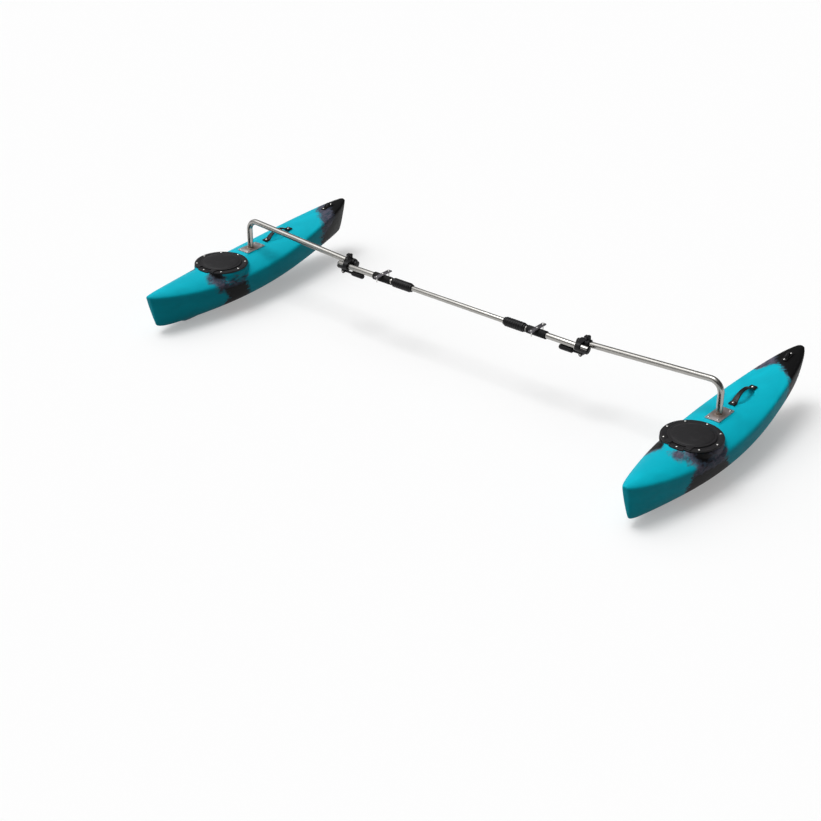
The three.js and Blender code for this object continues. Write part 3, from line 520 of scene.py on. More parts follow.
hull_plastics = {side: hull_finish(side) for side in SIDES}
print("hull finishes:", [m.name for m in hull_plastics.values()])

# %% [markdown]
# ## Lines of a float
# A boat's hull is drawn as sections, one behind the other. Each one has its half beam, the height
# of its deck edge, of its deck crown and of its bottom, and a number that says how full it is.
# The values are those of the solid, so that the two shapes agree, and a smooth curve runs through
# them.

# %% Lines of the hull
BOW, STERN = 545.0, 545.0
STEM_RAKE, STERN_RAKE = 32.0, 30.0
BEAM, WALL, SEAT = 222.0, 4.0, 176.0
CAMBER = 2.2
STATIONS = [0, 0.008, 0.057, 0.149, 0.25, 0.351, 0.45, 0.498, 0.645, 0.792, 0.911, 0.975, 0.992, 1]
LINES = {
    "half": [0.05, 0.14, 0.33, 0.6, 0.82, 0.955, 0.997, 1, 0.9, 0.68, 0.455, 0.24, 0.14, 0.06],
    "edge": [0.9, 0.888, 0.845, 0.775, 0.738, 0.73, 0.75, 0.772, 0.872, 1.02, 1.12, 1.195, 1.215,
             1.225],
    "crown": [0.936, 0.938, 0.941, 0.946, 0.952, 0.965, 0.988, 0.999, 1.028, 1.1, 1.18, 1.225,
              1.236, 1.24],
    "bottom": [0.2, 0.14, 0.068, 0.035, 0.04, 0.059, 0.09, 0.111, 0.189, 0.285, 0.368, 0.43, 0.455,
               0.48],
    "full": [1.8, 1.85, 1.95, 2.14, 2.34, 2.47, 2.57, 2.62, 2.7, 2.58, 2.23, 2.07, 2, 1.9],
}
print("hull is drawn through", len(STATIONS), "stations")


# %% Smooth curves through the stations
def through(values, share):
    """Smooth curve through the values at the stations, without overshoot."""
    last = len(STATIONS) - 1
    rise = [(values[i + 1] - values[i]) / (STATIONS[i + 1] - STATIONS[i]) for i in range(last)]

    def slope(i):
        if i in (0, last):
            return rise[0 if i == 0 else last - 1]
        before, behind = rise[i - 1], rise[i]
        return 2 * before * behind / (before + behind) if before * behind > 0 else 0.0

    i = max(k for k in range(last) if k == 0 or share > STATIONS[k])
    step = STATIONS[i + 1] - STATIONS[i]
    u = (share - STATIONS[i]) / step
    start = values[i] * (1 + 2 * u) * (1 - u) ** 2 + values[i + 1] * u * u * (3 - 2 * u)
    return start + step * (slope(i) * u * (1 - u) ** 2 + slope(i + 1) * u * u * (u - 1))


def section(share, inset=0.0):
    """The lines at a share of the hull's length, in millimetres."""
    at = {name: through(values, share) for name, values in LINES.items()}
    return {
        "half": BEAM / 2 * at["half"] - inset,
        "edge": SEAT * at["edge"] - inset,
        "crown": SEAT * at["crown"] - inset,
        "bottom": SEAT * at["bottom"] + inset,
        "power": 2 / at["full"],
        "deck_y": share * (BOW + STERN) - BOW,
        "keel_y": STEM_RAKE - BOW + share * (BOW + STERN - STEM_RAKE - STERN_RAKE),
    }


def crown_at(y):
    """Height of the deck's middle at a distance behind the upright tube."""
    return section((y + BOW) / (BOW + STERN))["crown"]


print("deck is", round(crown_at(-BOW)), "mm high at the bow,", round(crown_at(STERN)), "at the stern")


# %% [markdown]
# ## Hull
# The real hull is one hollow moulding with soft corners. Box modelling with a subdivision surface
# could make it, but its lines are known section by section, so it is lofted: a circle is bent
# into each section and neighbouring circles are bridged. The boss, the seats and the keel strip
# are closed shapes that overlap it, and a voxel remesh melts them into one skin, as the
# plastic does in the mould. The hollow is cut out last, so that its wall keeps its thickness.

# %% Loft of the hull's skin
def edges_of(verts):
    """Each edge at these vertices once, in a fixed order."""
    return list(dict.fromkeys(edge for vert in verts for edge in vert.link_edges))


def section_point(lines, angle):
    across, down = math.cos(angle), math.sin(angle)
    if down >= 0:
        x = math.copysign(abs(across) ** lines["power"], across)
        down = down ** lines["power"]
        y = lines["deck_y"] + (lines["keel_y"] - lines["deck_y"]) * down
        return x * lines["half"], y, lines["edge"] - (lines["edge"] - lines["bottom"]) * down
    rise = (lines["crown"] - lines["edge"]) * (1 - abs(across) ** CAMBER)
    return across * lines["half"], lines["deck_y"], lines["edge"] + rise


def hull_skin(stations, points, passes, inset=0.0, end_share=0.0):
    bm = bmesh.new()
    rings = []
    for i in range(stations + 1):
        even = (1 - math.cos(math.pi * i / stations)) / 2
        lines = section(end_share + (1 - 2 * end_share) * even, inset)
        circle = bmesh.ops.create_circle(bm, segments=points, radius=1)["verts"]
        for k, vert in enumerate(circle):
            vert.co = section_point(lines, math.tau * k / points)
        rings.append(edges_of(circle))
    for ring, following in zip(rings, rings[1:]):
        bmesh.ops.bridge_loops(bm, edges=ring + following)
    for end in (rings[0], rings[-1]):
        bmesh.ops.edgeloop_fill(bm, edges=end)
    bmesh.ops.recalc_face_normals(bm, faces=bm.faces)
    # softening pulls a shape in a little, so it is stretched back to its length and beam
    before = [max(vert.co[axis] for vert in bm.verts) for axis in (0, 1)]
    softened(bm, passes)
    grown = [reach / max(vert.co[axis] for vert in bm.verts) for axis, reach in enumerate(before)]
    return moved(bm, Matrix.Diagonal((*grown, 1, 1)))


# %% Sizes of what stands on the skin and of what is pressed into it
HATCH_Y, BOSS_TOP, BOSS_RADIUS, BOSS_DEPTH, BOSS_FLARE = -162.0, 167.0, 103.5, 66.0, 11.0
FLANGE_RADIUS, FLANGE_GAP, MOUTH_RADIUS, MOUTH_PAST = 102.5, 0.3, 72.3, 3.0
PLATE_Y, PLATE_WIDTH, PLATE_LENGTH, PLATE_TOP = 4.0, 54.0, 98.0, SEAT + 3.0
HANDLE_Y, HANDLE_LENGTH, HANDLE_WIDTH, HANDLE_PAD = 152.0, 150.0, 25.0, 24.0
EYE_Y, EYE_LENGTH, EYE_WIDTH = 447.0, 62.0, 17.0
SEAT_MARGIN, SEAT_LIFT, SEAT_DEPTH = 1.5, 0.8, 14.0
KEEL_HALF, KEEL_EDGE = 8.0, 2.0
KEEL_SIDE = [(-400, 14), (-388, 7), (-374, 2.5), (-350, 0), (110, 0), (134, 3), (160, 14), (184, 31),
             (200, 48), (-400, 48)]
BOWL_REACH = (26, 60, 17)
print("boss is", 2 * BOSS_RADIUS, "mm wide and the mouth", 2 * MOUTH_RADIUS)


# %% Boss and the seats of the fittings
def boss(wall=0.0):
    rim, foot = BOSS_RADIUS - wall, BOSS_TOP - BOSS_DEPTH
    profile = [(0, foot), (rim - BOSS_FLARE, foot), (rim, BOSS_TOP - BOSS_FLARE),
               (rim, BOSS_TOP - wall), (0, BOSS_TOP - wall)]
    return moved(spun(profile, 96), shift(y=HATCH_Y))


def deck_frame(y):
    """Matrix that sets a flat-drawn piece on the deck crown at y."""
    slope = math.atan2(crown_at(y + SEAT_MARGIN) - crown_at(y - SEAT_MARGIN), 2 * SEAT_MARGIN)
    return shift(y=y, z=crown_at(y) + SEAT_LIFT) @ Matrix.Rotation(slope, 4, "X")


def handle_frame():
    """The same for the handle, on the line between its two pads."""
    reach = HANDLE_LENGTH / 2 - HANDLE_PAD / 2
    front, back = (crown_at(HANDLE_Y + s * reach) + SEAT_LIFT for s in (-1, 1))
    slope = math.atan2(back - front, 2 * reach)
    return shift(y=HANDLE_Y, z=(front + back) / 2) @ Matrix.Rotation(slope, 4, "X")


def seat(width, low_y, high_y, top=0.0):
    w = width / 2 + SEAT_MARGIN
    return box((-w, low_y - SEAT_MARGIN, top - SEAT_DEPTH), (w, high_y + SEAT_MARGIN, top))


def plate_seat(lift=0.0):
    half = PLATE_LENGTH / 2
    return seat(PLATE_WIDTH, PLATE_Y - half, PLATE_Y + half, SEAT + lift)


# %% Keel strip and finger bowl
def only(kind, geom):
    """The parts of one kind in what an operator gives back."""
    return [part for part in geom if isinstance(part, kind)]


def pulled(bm, by):
    """A flat outline, pulled out into a solid."""
    made = bmesh.ops.extrude_face_region(bm, geom=bm.faces[:])["geom"]
    bmesh.ops.translate(bm, vec=by, verts=only(bmesh.types.BMVert, made))
    bmesh.ops.recalc_face_normals(bm, faces=bm.faces)
    return bm


def keel_strip():
    """Strip under the keel: a side view that is filled and pulled to its width."""
    bm = bmesh.new()
    bm.faces.new([bm.verts.new((-KEEL_HALF, y, z)) for y, z in KEEL_SIDE])
    return eased(pulled(bm, (2 * KEEL_HALF, 0, 0)), KEEL_EDGE)


def bowl(wall=0.0):
    """Oval hollow under the handle, where the fingers go."""
    bm = bmesh.new()
    bmesh.ops.create_uvsphere(bm, u_segments=64, v_segments=32, radius=1)
    size = Matrix.Diagonal((*[reach + wall for reach in BOWL_REACH], 1))
    return moved(bm, size, shift(y=HANDLE_Y, z=crown_at(HANDLE_Y)))


# %% Melt the hull into one skin and hollow it
GRAIN = 3.1
half = HANDLE_LENGTH / 2
handle_seats = [moved(seat(HANDLE_WIDTH, low_y, low_y + HANDLE_PAD), handle_frame())
                for low_y in (-half, half - HANDLE_PAD)]
eye_seat = moved(seat(EYE_WIDTH, -EYE_LENGTH / 2, EYE_LENGTH / 2), deck_frame(EYE_Y))
skin = hull_skin(stations=72, points=96, passes=40)
lump = joined(skin, boss(), plate_seat(), *handle_seats, eye_seat, keel_strip())
pressed = joined(
    bowl(),
    moved(disc(FLANGE_RADIUS + FLANGE_GAP, BOSS_TOP, SEAT + SEAT_DEPTH), shift(y=HATCH_Y)),
    plate_seat(lift=SEAT_DEPTH),
)
hull = moulded(carved(mesh_of(lump), pressed), GRAIN, passes=3)
inner_skin = hull_skin(stations=36, points=48, passes=10, inset=WALL, end_share=0.035)
hollow = carved(
    mesh_of(joined(inner_skin, boss(WALL))),
    moved(disc(BOSS_RADIUS + WALL, BOSS_TOP - WALL, SEAT), shift(y=HATCH_Y)),
    plate_seat(),
    bowl(WALL),
)
mouth = disc(MOUTH_RADIUS, BOSS_TOP - BOSS_DEPTH / 2, BOSS_TOP + MOUTH_PAST)
hull = carved(hull, copy_of(hollow), moved(mouth, shift(y=HATCH_Y)))
on_both_floats("hull_moulding", hull, hull_plastics, ["float_hull"], smooth=60)
print("hull has", len(hull.polygons), "faces at a grain of", GRAIN, "mm")

# %% [markdown]
# ## Black plastics and rubber
# Hatches, handles and clamps are injection moulded from black plastic in a mould with a fine
# spark-eroded grain. Plain black would look like a hole in the picture, so the grain is a bump
# that breaks up the highlights, and worn spots are a little smoother and greyer.

# %% Finishes of the black pieces
WORN_GAIN, WORN_LIFT = 1.45, 0.003


def black_finish(name, tone, rough, grain, depth):
    finish = new_finish(name)
    wear = finish.noise(finish.place(), 34, 4, 0.6).ramp(0.5, 0.78)
    rub = finish.noise(finish.place(scale=(1, 3, 1)), 210, 3, 0.5).ramp(0.45, 0.7)
    worn = tuple(min(1.0, level * WORN_GAIN + WORN_LIFT) for level in tone[:3]) + (1.0,)
    stipple = finish.noise(finish.place(), grain, 2, 0.6)
    return finish.surface(
        Base_Color=finish.mix(wear * 0.7, tone, worn), Roughness=rough + 0.1 * rub - 0.1 * wear,
        Specular_IOR_Level=0.25, Normal=finish.bump(stipple, depth))


hatch_black = black_finish("hatch_plastic", colour(31, 30, 32), 0.5, 1500, 0.00010)
clamp_black = black_finish("black_plastic", colour(13, 12, 14), 0.42, 1100, 0.00012)
rubber_black = black_finish("black_rubber", colour(14, 14, 15), 0.72, 700, 0.00018)
blacks = [hatch_black, clamp_black, rubber_black]
print("black finishes:", [m.name for m in blacks])

# %% [markdown]
# ## Steel
# The tubes are polished along their length, which leaves fine lines and stretches every
# reflection. The plates are brushed. Heat from welding leaves straw and brown tints round the
# foot of each arm, so both finishes there read the distance from the weld. A mirror needs
# something to reflect, and the pale floor and the sky give it that.

# %% Finishes of the steel pieces
CLOUD_DARK, LINE_DEPTH = 0.82, 0.00004
STRAW, BROWN = colour(176, 154, 126), colour(104, 84, 78)
# where the tints begin and end, in metres from the weld, and how far they waver
STRAW_REACH, BROWN_REACH, WAVER = (0.014, 0.036), (0.006, 0.02), 0.012


def steel_finish(name, tone, rough, stretch, lines, weld_at=None):
    finish = new_finish(name)
    scratch = finish.noise(finish.place(scale=stretch), lines, 4, 0.6)
    cloud = finish.noise(finish.place(), 40, 3, 0.5)
    cloudy = tuple(CLOUD_DARK * level for level in tone[:3]) + (1.0,)
    base = finish.mix(cloud.ramp(0.3, 0.75) * 0.6, tone, cloudy)
    if weld_at:
        x, y, z = finish.axes(finish.place(weld_at))
        squared = x * x + y * y + z * z
        far = finish.node("ShaderNodeMath", {"operation": "SQRT"}, {0: squared})
        far = far + (cloud - 0.5) * WAVER
        straw = 1 - far.ramp(*STRAW_REACH)
        brown = straw * far.ramp(*BROWN_REACH)
        base = finish.mix(straw * 0.4, base, STRAW)
        base = finish.mix(brown * 0.45, base, BROWN)
    return finish.surface(
        Base_Color=base, Metallic=1.0, Roughness=rough + 0.14 * scratch.ramp(0.35, 0.7),
        Normal=finish.bump(scratch, LINE_DEPTH))


def welded_steels(name, *settings):
    """One finish for each side, tinted round the foot of that side's arm."""
    return {side: steel_finish(f"{side}_{name}", *settings, (sign * FLOAT_X * MM, 0, PLATE_TOP * MM))
            for side, sign in SIDES.items()}


bright_steel = steel_finish("polished_stainless", colour(172, 170, 166), 0.18, (0.02, 1, 1), 1400)
screw_steel = steel_finish("screw_stainless", colour(214, 213, 210), 0.2, (1, 1, 1), 900)
strap_steel = steel_finish("strap_stainless", colour(124, 121, 126), 0.42, (1, 0.03, 1), 1600)
arm_steels = welded_steels("arm_stainless", colour(170, 168, 164), 0.18, (0.05, 1, 0.05), 1200)
plate_steels = welded_steels("plate_stainless", colour(196, 190, 190), 0.46, (1, 0.03, 1), 1500)
bolt_steel = steel_finish("dull_stainless", colour(84, 82, 84), 0.42, (1, 1, 1), 900)
steels = [bright_steel, screw_steel, strap_steel, bolt_steel]
steels += [*arm_steels.values(), *plate_steels.values()]
print("steel finishes:", [m.name for m in steels])

# %% [markdown]
# ## Screws
# Every fitting is held by small stainless screws with a domed head and a cross recess. A dot
# would do from afar, but the heads are the brightest specks in the picture. So one head is spun
# from its profile, the cross is pressed in with two crossed blades, and copies go where they are
# needed.

# %% One screw head and its copies
FIRST_TURN, NEXT_TURN = 12, 37


def screw_head(radius, height, shank=0.0):
    """A head that sits on Z zero, with a shank below it."""
    profile = [(0, height), (0.4 * radius, 0.96 * height), (0.75 * radius, 0.74 * height),
               (0.95 * radius, 0.34 * height), (radius, 0.0)]
    profile += [(0.46 * radius, 0.0), (0.46 * radius, -shank), (0, -shank)] if shank else [(0, 0.0)]
    blades = []
    for angle in (0, 90):
        long, wide = 0.52 * radius, 0.13 * radius
        blade = box((-long, -wide, 0.35 * height), (long, wide, 2 * height))
        blades.append(moved(blade, turn(angle, "Z")))
    return carved(mesh_of(spun(profile, 24)), joined(*blades))


def screws(head, spots):
    """One mesh of heads, each turned a little differently."""
    return mesh_of(joined(*[moved(copy_of(head), turn(FIRST_TURN + NEXT_TURN * i, "Z"), spot)
                            for i, spot in enumerate(spots)]))


small_head = screw_head(radius=4.3, height=2.1)
print("screw head has", len(small_head.polygons), "faces")

# %% [markdown]
# ## Deck hatch
# A round hatch sits on the boss: a flange held by eight screws, a rubber gasket on its
# ledge, and a lid that swings up on two arms at its front. All three are round, so each is a
# profile spun round the middle. The notches for the hinge arms are cut afterwards, and the sharp
# rims are rounded off so that they catch the light.

# %% Sizes of the hatch
HATCH = shift(y=HATCH_Y, z=BOSS_TOP)
HINGE_X, HINGE_Y, HINGE_Z, KNUCKLE_HALF = 36.5, -90.0, 3.2, 10.5
NOTCH_HALF, NOTCH_FRONT, NOTCH_BACK, NOTCH_LOW, NOTCH_HIGH = 10.9, -106.0, -86.5, -3.0, 8.0
FLANGE_BORE, LID_BORE, PIN_HOLE = (12.6, 27.0), (20.0, 50.0), 1.6
FLANGE_TOP, SCREW_RING, SCREW_COUNT = 5.5, 92.0, 8
FLANGE_SIDE = [(69, -24), (72, -24), (72, 0.3), (102.4, 0.3), (102.5, 3.2), (101.2, 4.9), (98.5, 5.5),
               (84.5, 5.5), (83.2, 5.0), (80.2, 5.0), (80.2, 3), (69, 3)]
GASKET_SIDE = [(72.5, 3.3), (77.5, 3.3), (76.2, 5.4), (73.8, 5.4)]
print("flange is", 2 * FLANGE_RADIUS, "mm wide")


# %% Room for the hinges
def pin_holes(low_x, high_x):
    """Bars on the hinge line, on both sides, that leave room for the pins."""
    bars = [moved(disc(PIN_HOLE, low_x, high_x, 24), turn(side * 90, "Y")) for side in (1, -1)]
    return moved(joined(*bars), shift(y=HINGE_Y, z=HINGE_Z))


def notch(side):
    """Block that makes room for one hinge arm of the lid."""
    low_x, high_x = side * HINGE_X - NOTCH_HALF, side * HINGE_X + NOTCH_HALF
    return box((low_x, NOTCH_FRONT, NOTCH_LOW), (high_x, NOTCH_BACK, NOTCH_HIGH))


# %% Flange, gasket and their screws
flange = eased(spun(FLANGE_SIDE, 128, closed=True), 0.35, 1, 60)
flange = carved(mesh_of(flange), joined(notch(1), notch(-1)), pin_holes(*FLANGE_BORE))
flange.transform(HATCH)
on_both_floats("hatch_flange_ring", flange, hatch_black, ["hatch_flange"])

gasket = mesh_of(moved(eased(spun(GASKET_SIDE, 96, closed=True), 0.5), HATCH))
on_both_floats("hatch_seal", gasket, rubber_black, ["hatch_gasket"])

ring = [HATCH @ shift(z=FLANGE_TOP) @ turn(360 / SCREW_COUNT * i, "Z") @ shift(x=SCREW_RING)
        for i in range(SCREW_COUNT)]
on_both_floats("hatch_screws", screws(small_head, ring), screw_steel)
print("hatch flange has", len(flange.polygons), "faces and", len(ring), "screws")

# %% Lid with its hinge arms
LID_SIDE = [(0, 14.6), (24, 14.2), (48, 12.6), (64, 10.9), (70.5, 9.9), (71.5, 9.1), (74.5, 9.1),
            (77.6, 9.0), (79.3, 8.1), (79.8, 6.6), (79.6, 5.7), (71.0, 5.7), (68.5, 5.9), (47, 8.9),
            (24, 10.3), (0, 10.7)]
TONGUE_LOW, TONGUE_TOP, TONGUE_BACK, KNUCKLE = 5.9, 8.9, -56.0, 2.7
STEM_INSET, STEM_FRONT, STEM_LOW, STEM_TOP = 0.2, 0.1, 3.0, 8.6
lid = eased(spun(LID_SIDE, 128), 0.3, 1, 50)
tongues = []
for side in (1, -1):
    low_x, high_x = side * HINGE_X - KNUCKLE_HALF, side * HINGE_X + KNUCKLE_HALF
    tongue = eased(box((low_x, HINGE_Y, TONGUE_LOW), (high_x, TONGUE_BACK, TONGUE_TOP)), 0.8)
    knuckle = eased(disc(KNUCKLE, low_x, high_x, 24), 0.4, 1)
    knuckle = moved(knuckle, turn(90, "Y"), shift(y=HINGE_Y, z=HINGE_Z))
    stem = box((low_x + STEM_INSET, HINGE_Y + STEM_FRONT, STEM_LOW),
               (high_x - STEM_INSET, HINGE_Y + KNUCKLE, STEM_TOP))
    bored = [copy_of(carved(mesh_of(shape), pin_holes(*LID_BORE))) for shape in (knuckle, stem)]
    tongues += [tongue, *bored]
lid = mesh_of(moved(joined(lid, *tongues), HATCH))
on_both_floats("hatch_lid_dish", lid, hatch_black, ["hatch_lid"], body="lid")
print("lid has", len(lid.polygons), "faces")

# %% [markdown]
# ## Base plate and arm
# The arm is one tube, bent on a former and welded upright to a plate with four screws. A curve
# with a bevel would give the tube, but the shop's own way is as short: a circle is pulled up,
# spun round the middle of the bend and pulled out to the clamp. The weld is a ring of small
# overlapping beads, as a welder lays them.

# %% Plate and weld
TUBE_RADIUS = 11.0
PLATE_GAP, PLATE_CORNER, PLATE_EDGE = 0.3, 3.0, 0.35
PLATE_SCREW_X, PLATE_SCREW_Y = 17.0, 39.0
BEADS, BEAD_SIZE, BEAD_OUT, BEAD_LEAN = 26, (1.75, 1.9, 1.9), 1.1, 24


def round_corners(bm, radius, steps):
    """Rounds off the upright edges of a flat box."""
    upright = [e for e in bm.edges if abs(e.verts[0].co.z - e.verts[1].co.z) > 1]
    bmesh.ops.bevel(bm, geom=upright, offset=radius, segments=steps, profile=0.5, affect="EDGES",
                    material=-1)
    return bm


across, along = PLATE_WIDTH / 2, PLATE_LENGTH / 2
plate = box((-across, PLATE_Y - along, SEAT + PLATE_GAP), (across, PLATE_Y + along, PLATE_TOP))
plate = eased(round_corners(plate, PLATE_CORNER, 4), PLATE_EDGE)
beads = []
for i in range(BEADS):
    bead = bmesh.new()
    bmesh.ops.create_uvsphere(bead, u_segments=12, v_segments=8, radius=1)
    lean = turn(360 * i / BEADS, "Z") @ shift(x=TUBE_RADIUS + BEAD_OUT) @ turn(BEAD_LEAN, "X")
    beads.append(moved(bead, Matrix.Diagonal((*BEAD_SIZE, 1)), lean, shift(z=PLATE_TOP)))
plate = mesh_of(joined(plate, *beads))
on_both_floats("base_plate_and_weld", plate, plate_steels, ["base_plate"],
               smooth=40)
spots = [shift(x, PLATE_Y + y, PLATE_TOP) for x in (-PLATE_SCREW_X, PLATE_SCREW_X)
         for y in (-PLATE_SCREW_Y, PLATE_SCREW_Y)]
on_both_floats("plate_screws", screws(small_head, spots), screw_steel)
print("weld has", len(beads), "beads")

# %% Line of the arm
ARM_RISE, ARM_DROP, ARM_REACH, BEND = 122.0, 33.16, 552.0, 40.0
ARM_WALL, ARM_FOOT, ARM_CREST, CREST_PRESS = 1.5, SEAT + 3.3, 305.0, 0.72
# what keeps the round tube inside the solid's flats
SLIM = 0.02
slope = math.atan2(ARM_DROP, ARM_REACH)
bend_turn = math.pi / 2 + slope
bend_start = SEAT + ARM_RISE - BEND * math.tan(bend_turn / 2)
bend_middle = Vector((-BEND, 0, bend_start))
bend_end = bend_middle + Vector((BEND * -math.sin(slope), 0, BEND * math.cos(slope)))
arm_end = Vector((-ARM_REACH, 0, SEAT + ARM_RISE - ARM_DROP))
print("arm reaches", ARM_REACH, "mm from its upright and drops", ARM_DROP)


# %% Arm tube
def pull(bm, edges, by):
    """Pulls a ring of edges along and returns the new ring."""
    made = bmesh.ops.extrude_edge_only(bm, edges=edges)["geom"]
    bmesh.ops.translate(bm, vec=by, verts=only(bmesh.types.BMVert, made))
    return only(bmesh.types.BMEdge, made)


arm = bmesh.new()
foot = bmesh.ops.create_circle(arm, segments=48, radius=TUBE_RADIUS - SLIM, matrix=shift(z=ARM_FOOT))
ring = pull(arm, edges_of(foot["verts"]), (0, 0, bend_start - ARM_FOOT))
bent = bmesh.ops.spin(arm, geom=ring, cent=bend_middle, axis=(0, -1, 0), angle=bend_turn, steps=28,
                      use_duplicate=False)["geom_last"]
pull(arm, only(bmesh.types.BMEdge, bent), arm_end - bend_end)
bmesh.ops.recalc_face_normals(arm, faces=arm.faces)
bmesh.ops.solidify(arm, geom=arm.faces[:], thickness=ARM_WALL)
for vert in arm.verts:
    # bending flattens a tube a little on the outside of the bend
    vert.co.z = min(vert.co.z, ARM_CREST + (vert.co.z - ARM_CREST) * CREST_PRESS)
arm = mesh_of(moved(arm, shift(x=FLOAT_X)))
on_both_ends("bent_arm", arm, arm_steels, ["arm_tube"], body="float")
print("arm has", len(arm.polygons), "faces")

# %% Cap in the arm's inner end
CAP_SIDE = [(0, -3.3), (12.2, -3.3), (12.4, 8.2), (11.2, 8.2), (11.2, -0.3), (9.2, -0.3), (9.2, 14),
            (0, 14)]
at_arm_end = Matrix.Translation(arm_end) @ Matrix.Rotation(-slope, 4, "Y")
cap = mesh_of(moved(eased(spun(CAP_SIDE, 48), 0.4), turn(90, "Y"), at_arm_end, shift(x=FLOAT_X)))
on_both_ends("arm_end_cap", cap, clamp_black, ["arm_cap"], body="float")
print("cap has", len(cap.polygons), "faces")

# %% [markdown]
# ## Handle and pad eye
# A strap handle for carrying lies over a finger bowl, and a pad eye behind it takes a line. The
# handle is a flat strip that is lifted along a smooth arch, thickened and rounded off. The
# eye is a ring bent over a small base.

# %% Arch of the strap handle
HANDLE_ARCH, HANDLE_THICK, HANDLE_GAP, HANDLE_EDGE = 20.0, 5.2, 0.3, 2.2
WAIST, WAIST_REACH, WAIST_FULL = 0.4, 54.0, 0.6
HALVINGS = 40
half = HANDLE_LENGTH / 2
arch_foot = half - HANDLE_PAD
arch_lean = arch_foot - HANDLE_PAD


def arch_height(along):
    """Height of the handle's arch at a distance along it."""
    if abs(along) >= arch_foot:
        return HANDLE_GAP
    low, high = 0.0, 1.0
    for _ in range(HALVINGS):
        t = (low + high) / 2
        inner = 3 * arch_lean * t * (1 - t) * (2 * t - 1)
        y = arch_foot * (t ** 3 - (1 - t) ** 3) + inner
        low, high = (t, high) if y < along else (low, t)
    return HANDLE_GAP + (HANDLE_ARCH - HANDLE_GAP) * 4 * t * (1 - t)


print("handle arches", round(arch_height(0), 1), "mm over the line of its feet")

# %% Strap handle
strap = bmesh.new()
bmesh.ops.create_grid(strap, x_segments=2, y_segments=60, size=1)
for vert in strap.verts:
    along = vert.co.y * half
    waist = 1 - WAIST * max(0.0, 1 - (along / WAIST_REACH) ** 2) ** WAIST_FULL
    vert.co = (vert.co.x * HANDLE_WIDTH / 2 * waist, along, arch_height(along))
strap = after(mesh_of(strap), "SOLIDIFY", thickness=HANDLE_THICK, offset=1.0, use_even_offset=True)
strap = moved(eased(copy_of(strap), HANDLE_EDGE, 4, 50), handle_frame())
on_both_floats("strap_handle", mesh_of(strap), clamp_black, ["deck_handle"])
pads = [handle_frame() @ shift(y=side * (half - HANDLE_PAD / 2), z=HANDLE_GAP + HANDLE_THICK)
        for side in (-1, 1)]
handle_screws = screws(screw_head(radius=5.0, height=2.4), pads)
on_both_floats("handle_screws", handle_screws, screw_steel)
print("handle is", HANDLE_LENGTH, "mm long")

# %% Pad eye
EYE_GAP, EYE_TOP, EYE_CORNER, EYE_SCREW = 0.3, 4.0, 6.5, 22.5
HOOP_REACH, HOOP_RISE, HOOP_RADIUS, HOOP_LIFT = 15.0, 13.0, 3.0, 2.0
across, along = EYE_WIDTH / 2, EYE_LENGTH / 2
base = box((-across, -along, EYE_GAP), (across, along, EYE_TOP))
base = eased(round_corners(base, EYE_CORNER, 6), 1.0, 2, 40)
hoop = bmesh.new()
end = bmesh.ops.create_circle(hoop, segments=20, radius=HOOP_RADIUS,
                              matrix=shift(y=HOOP_REACH))["verts"]
bmesh.ops.spin(hoop, geom=end + edges_of(end), cent=(0, 0, 0), axis=(1, 0, 0), angle=math.pi,
               steps=28)
hoop = moved(hoop, Matrix.Diagonal((1, 1, HOOP_RISE / HOOP_REACH, 1)), shift(z=HOOP_LIFT))
bmesh.ops.edgeloop_fill(hoop, edges=[e for e in hoop.edges if e.is_boundary])
eye = mesh_of(moved(joined(base, hoop), deck_frame(EYE_Y)))
on_both_floats("line_eye", eye, clamp_black, ["pad_eye"])
spots = [deck_frame(EYE_Y) @ shift(y=side * EYE_SCREW, z=EYE_TOP) for side in (-1, 1)]
eye_screws = screws(screw_head(radius=4.0, height=2.0), spots)
on_both_floats("eye_screws", eye_screws, screw_steel)
print("pad eye stands", round(crown_at(EYE_Y) + HOOP_LIFT + HOOP_RISE + HOOP_RADIUS), "mm high")

# %% [markdown]
# ## Crossbar
# The bar is telescopic: a thin tube in the middle slides in two thicker ones, and a ribbed collar
# on each side locks it. A rubber sleeve pads the place where a steel strap holds the bar down.
# All but the strap are round, so they are profiles spun on their axis and laid along X.

# %% Tubes and plugs
BAR_Y, BAR_Z = -28.0, 262.0
BAR_MIDDLE = shift(y=BAR_Y, z=BAR_Z)
BAR = BAR_MIDDLE @ turn(90, "Y")
MIDDLE_RADIUS, MIDDLE_HALF, MIDDLE_WALL = 9.5, 421.0, 1.5
BAR_START, BAR_END, BAR_WALL = 236.0, 556.0, 1.1
PLUG_SIDE = [(0, 541), (9.5, 541), (9.5, 556.3), (10.9, 556.3), (10.6, 558.2), (9.4, 559.8),
             (7.4, 560.7), (4, 560.95), (0, 561)]


def tube(radius, wall, start, end):
    radius -= SLIM
    profile = [(radius - wall, start), (radius, start), (radius, end), (radius - wall, end)]
    return moved(eased(spun(profile, 48, closed=True), wall / 3), BAR)


piece("middle_bar", tube(MIDDLE_RADIUS, MIDDLE_WALL, -MIDDLE_HALF, MIDDLE_HALF), "crossbar",
      bright_steel, ["middle_tube"])
outer_tube = mesh_of(tube(TUBE_RADIUS, BAR_WALL, BAR_START, BAR_END))
on_both_ends("bar_tube", outer_tube, bright_steel, ["end_tube"])
plug = mesh_of(moved(spun(PLUG_SIDE, 48), BAR))
on_both_ends("bar_plug", plug, clamp_black, ["end_plug"])
print("crossbar is", 2 * PLUG_SIDE[-1][1], "mm long at rest")

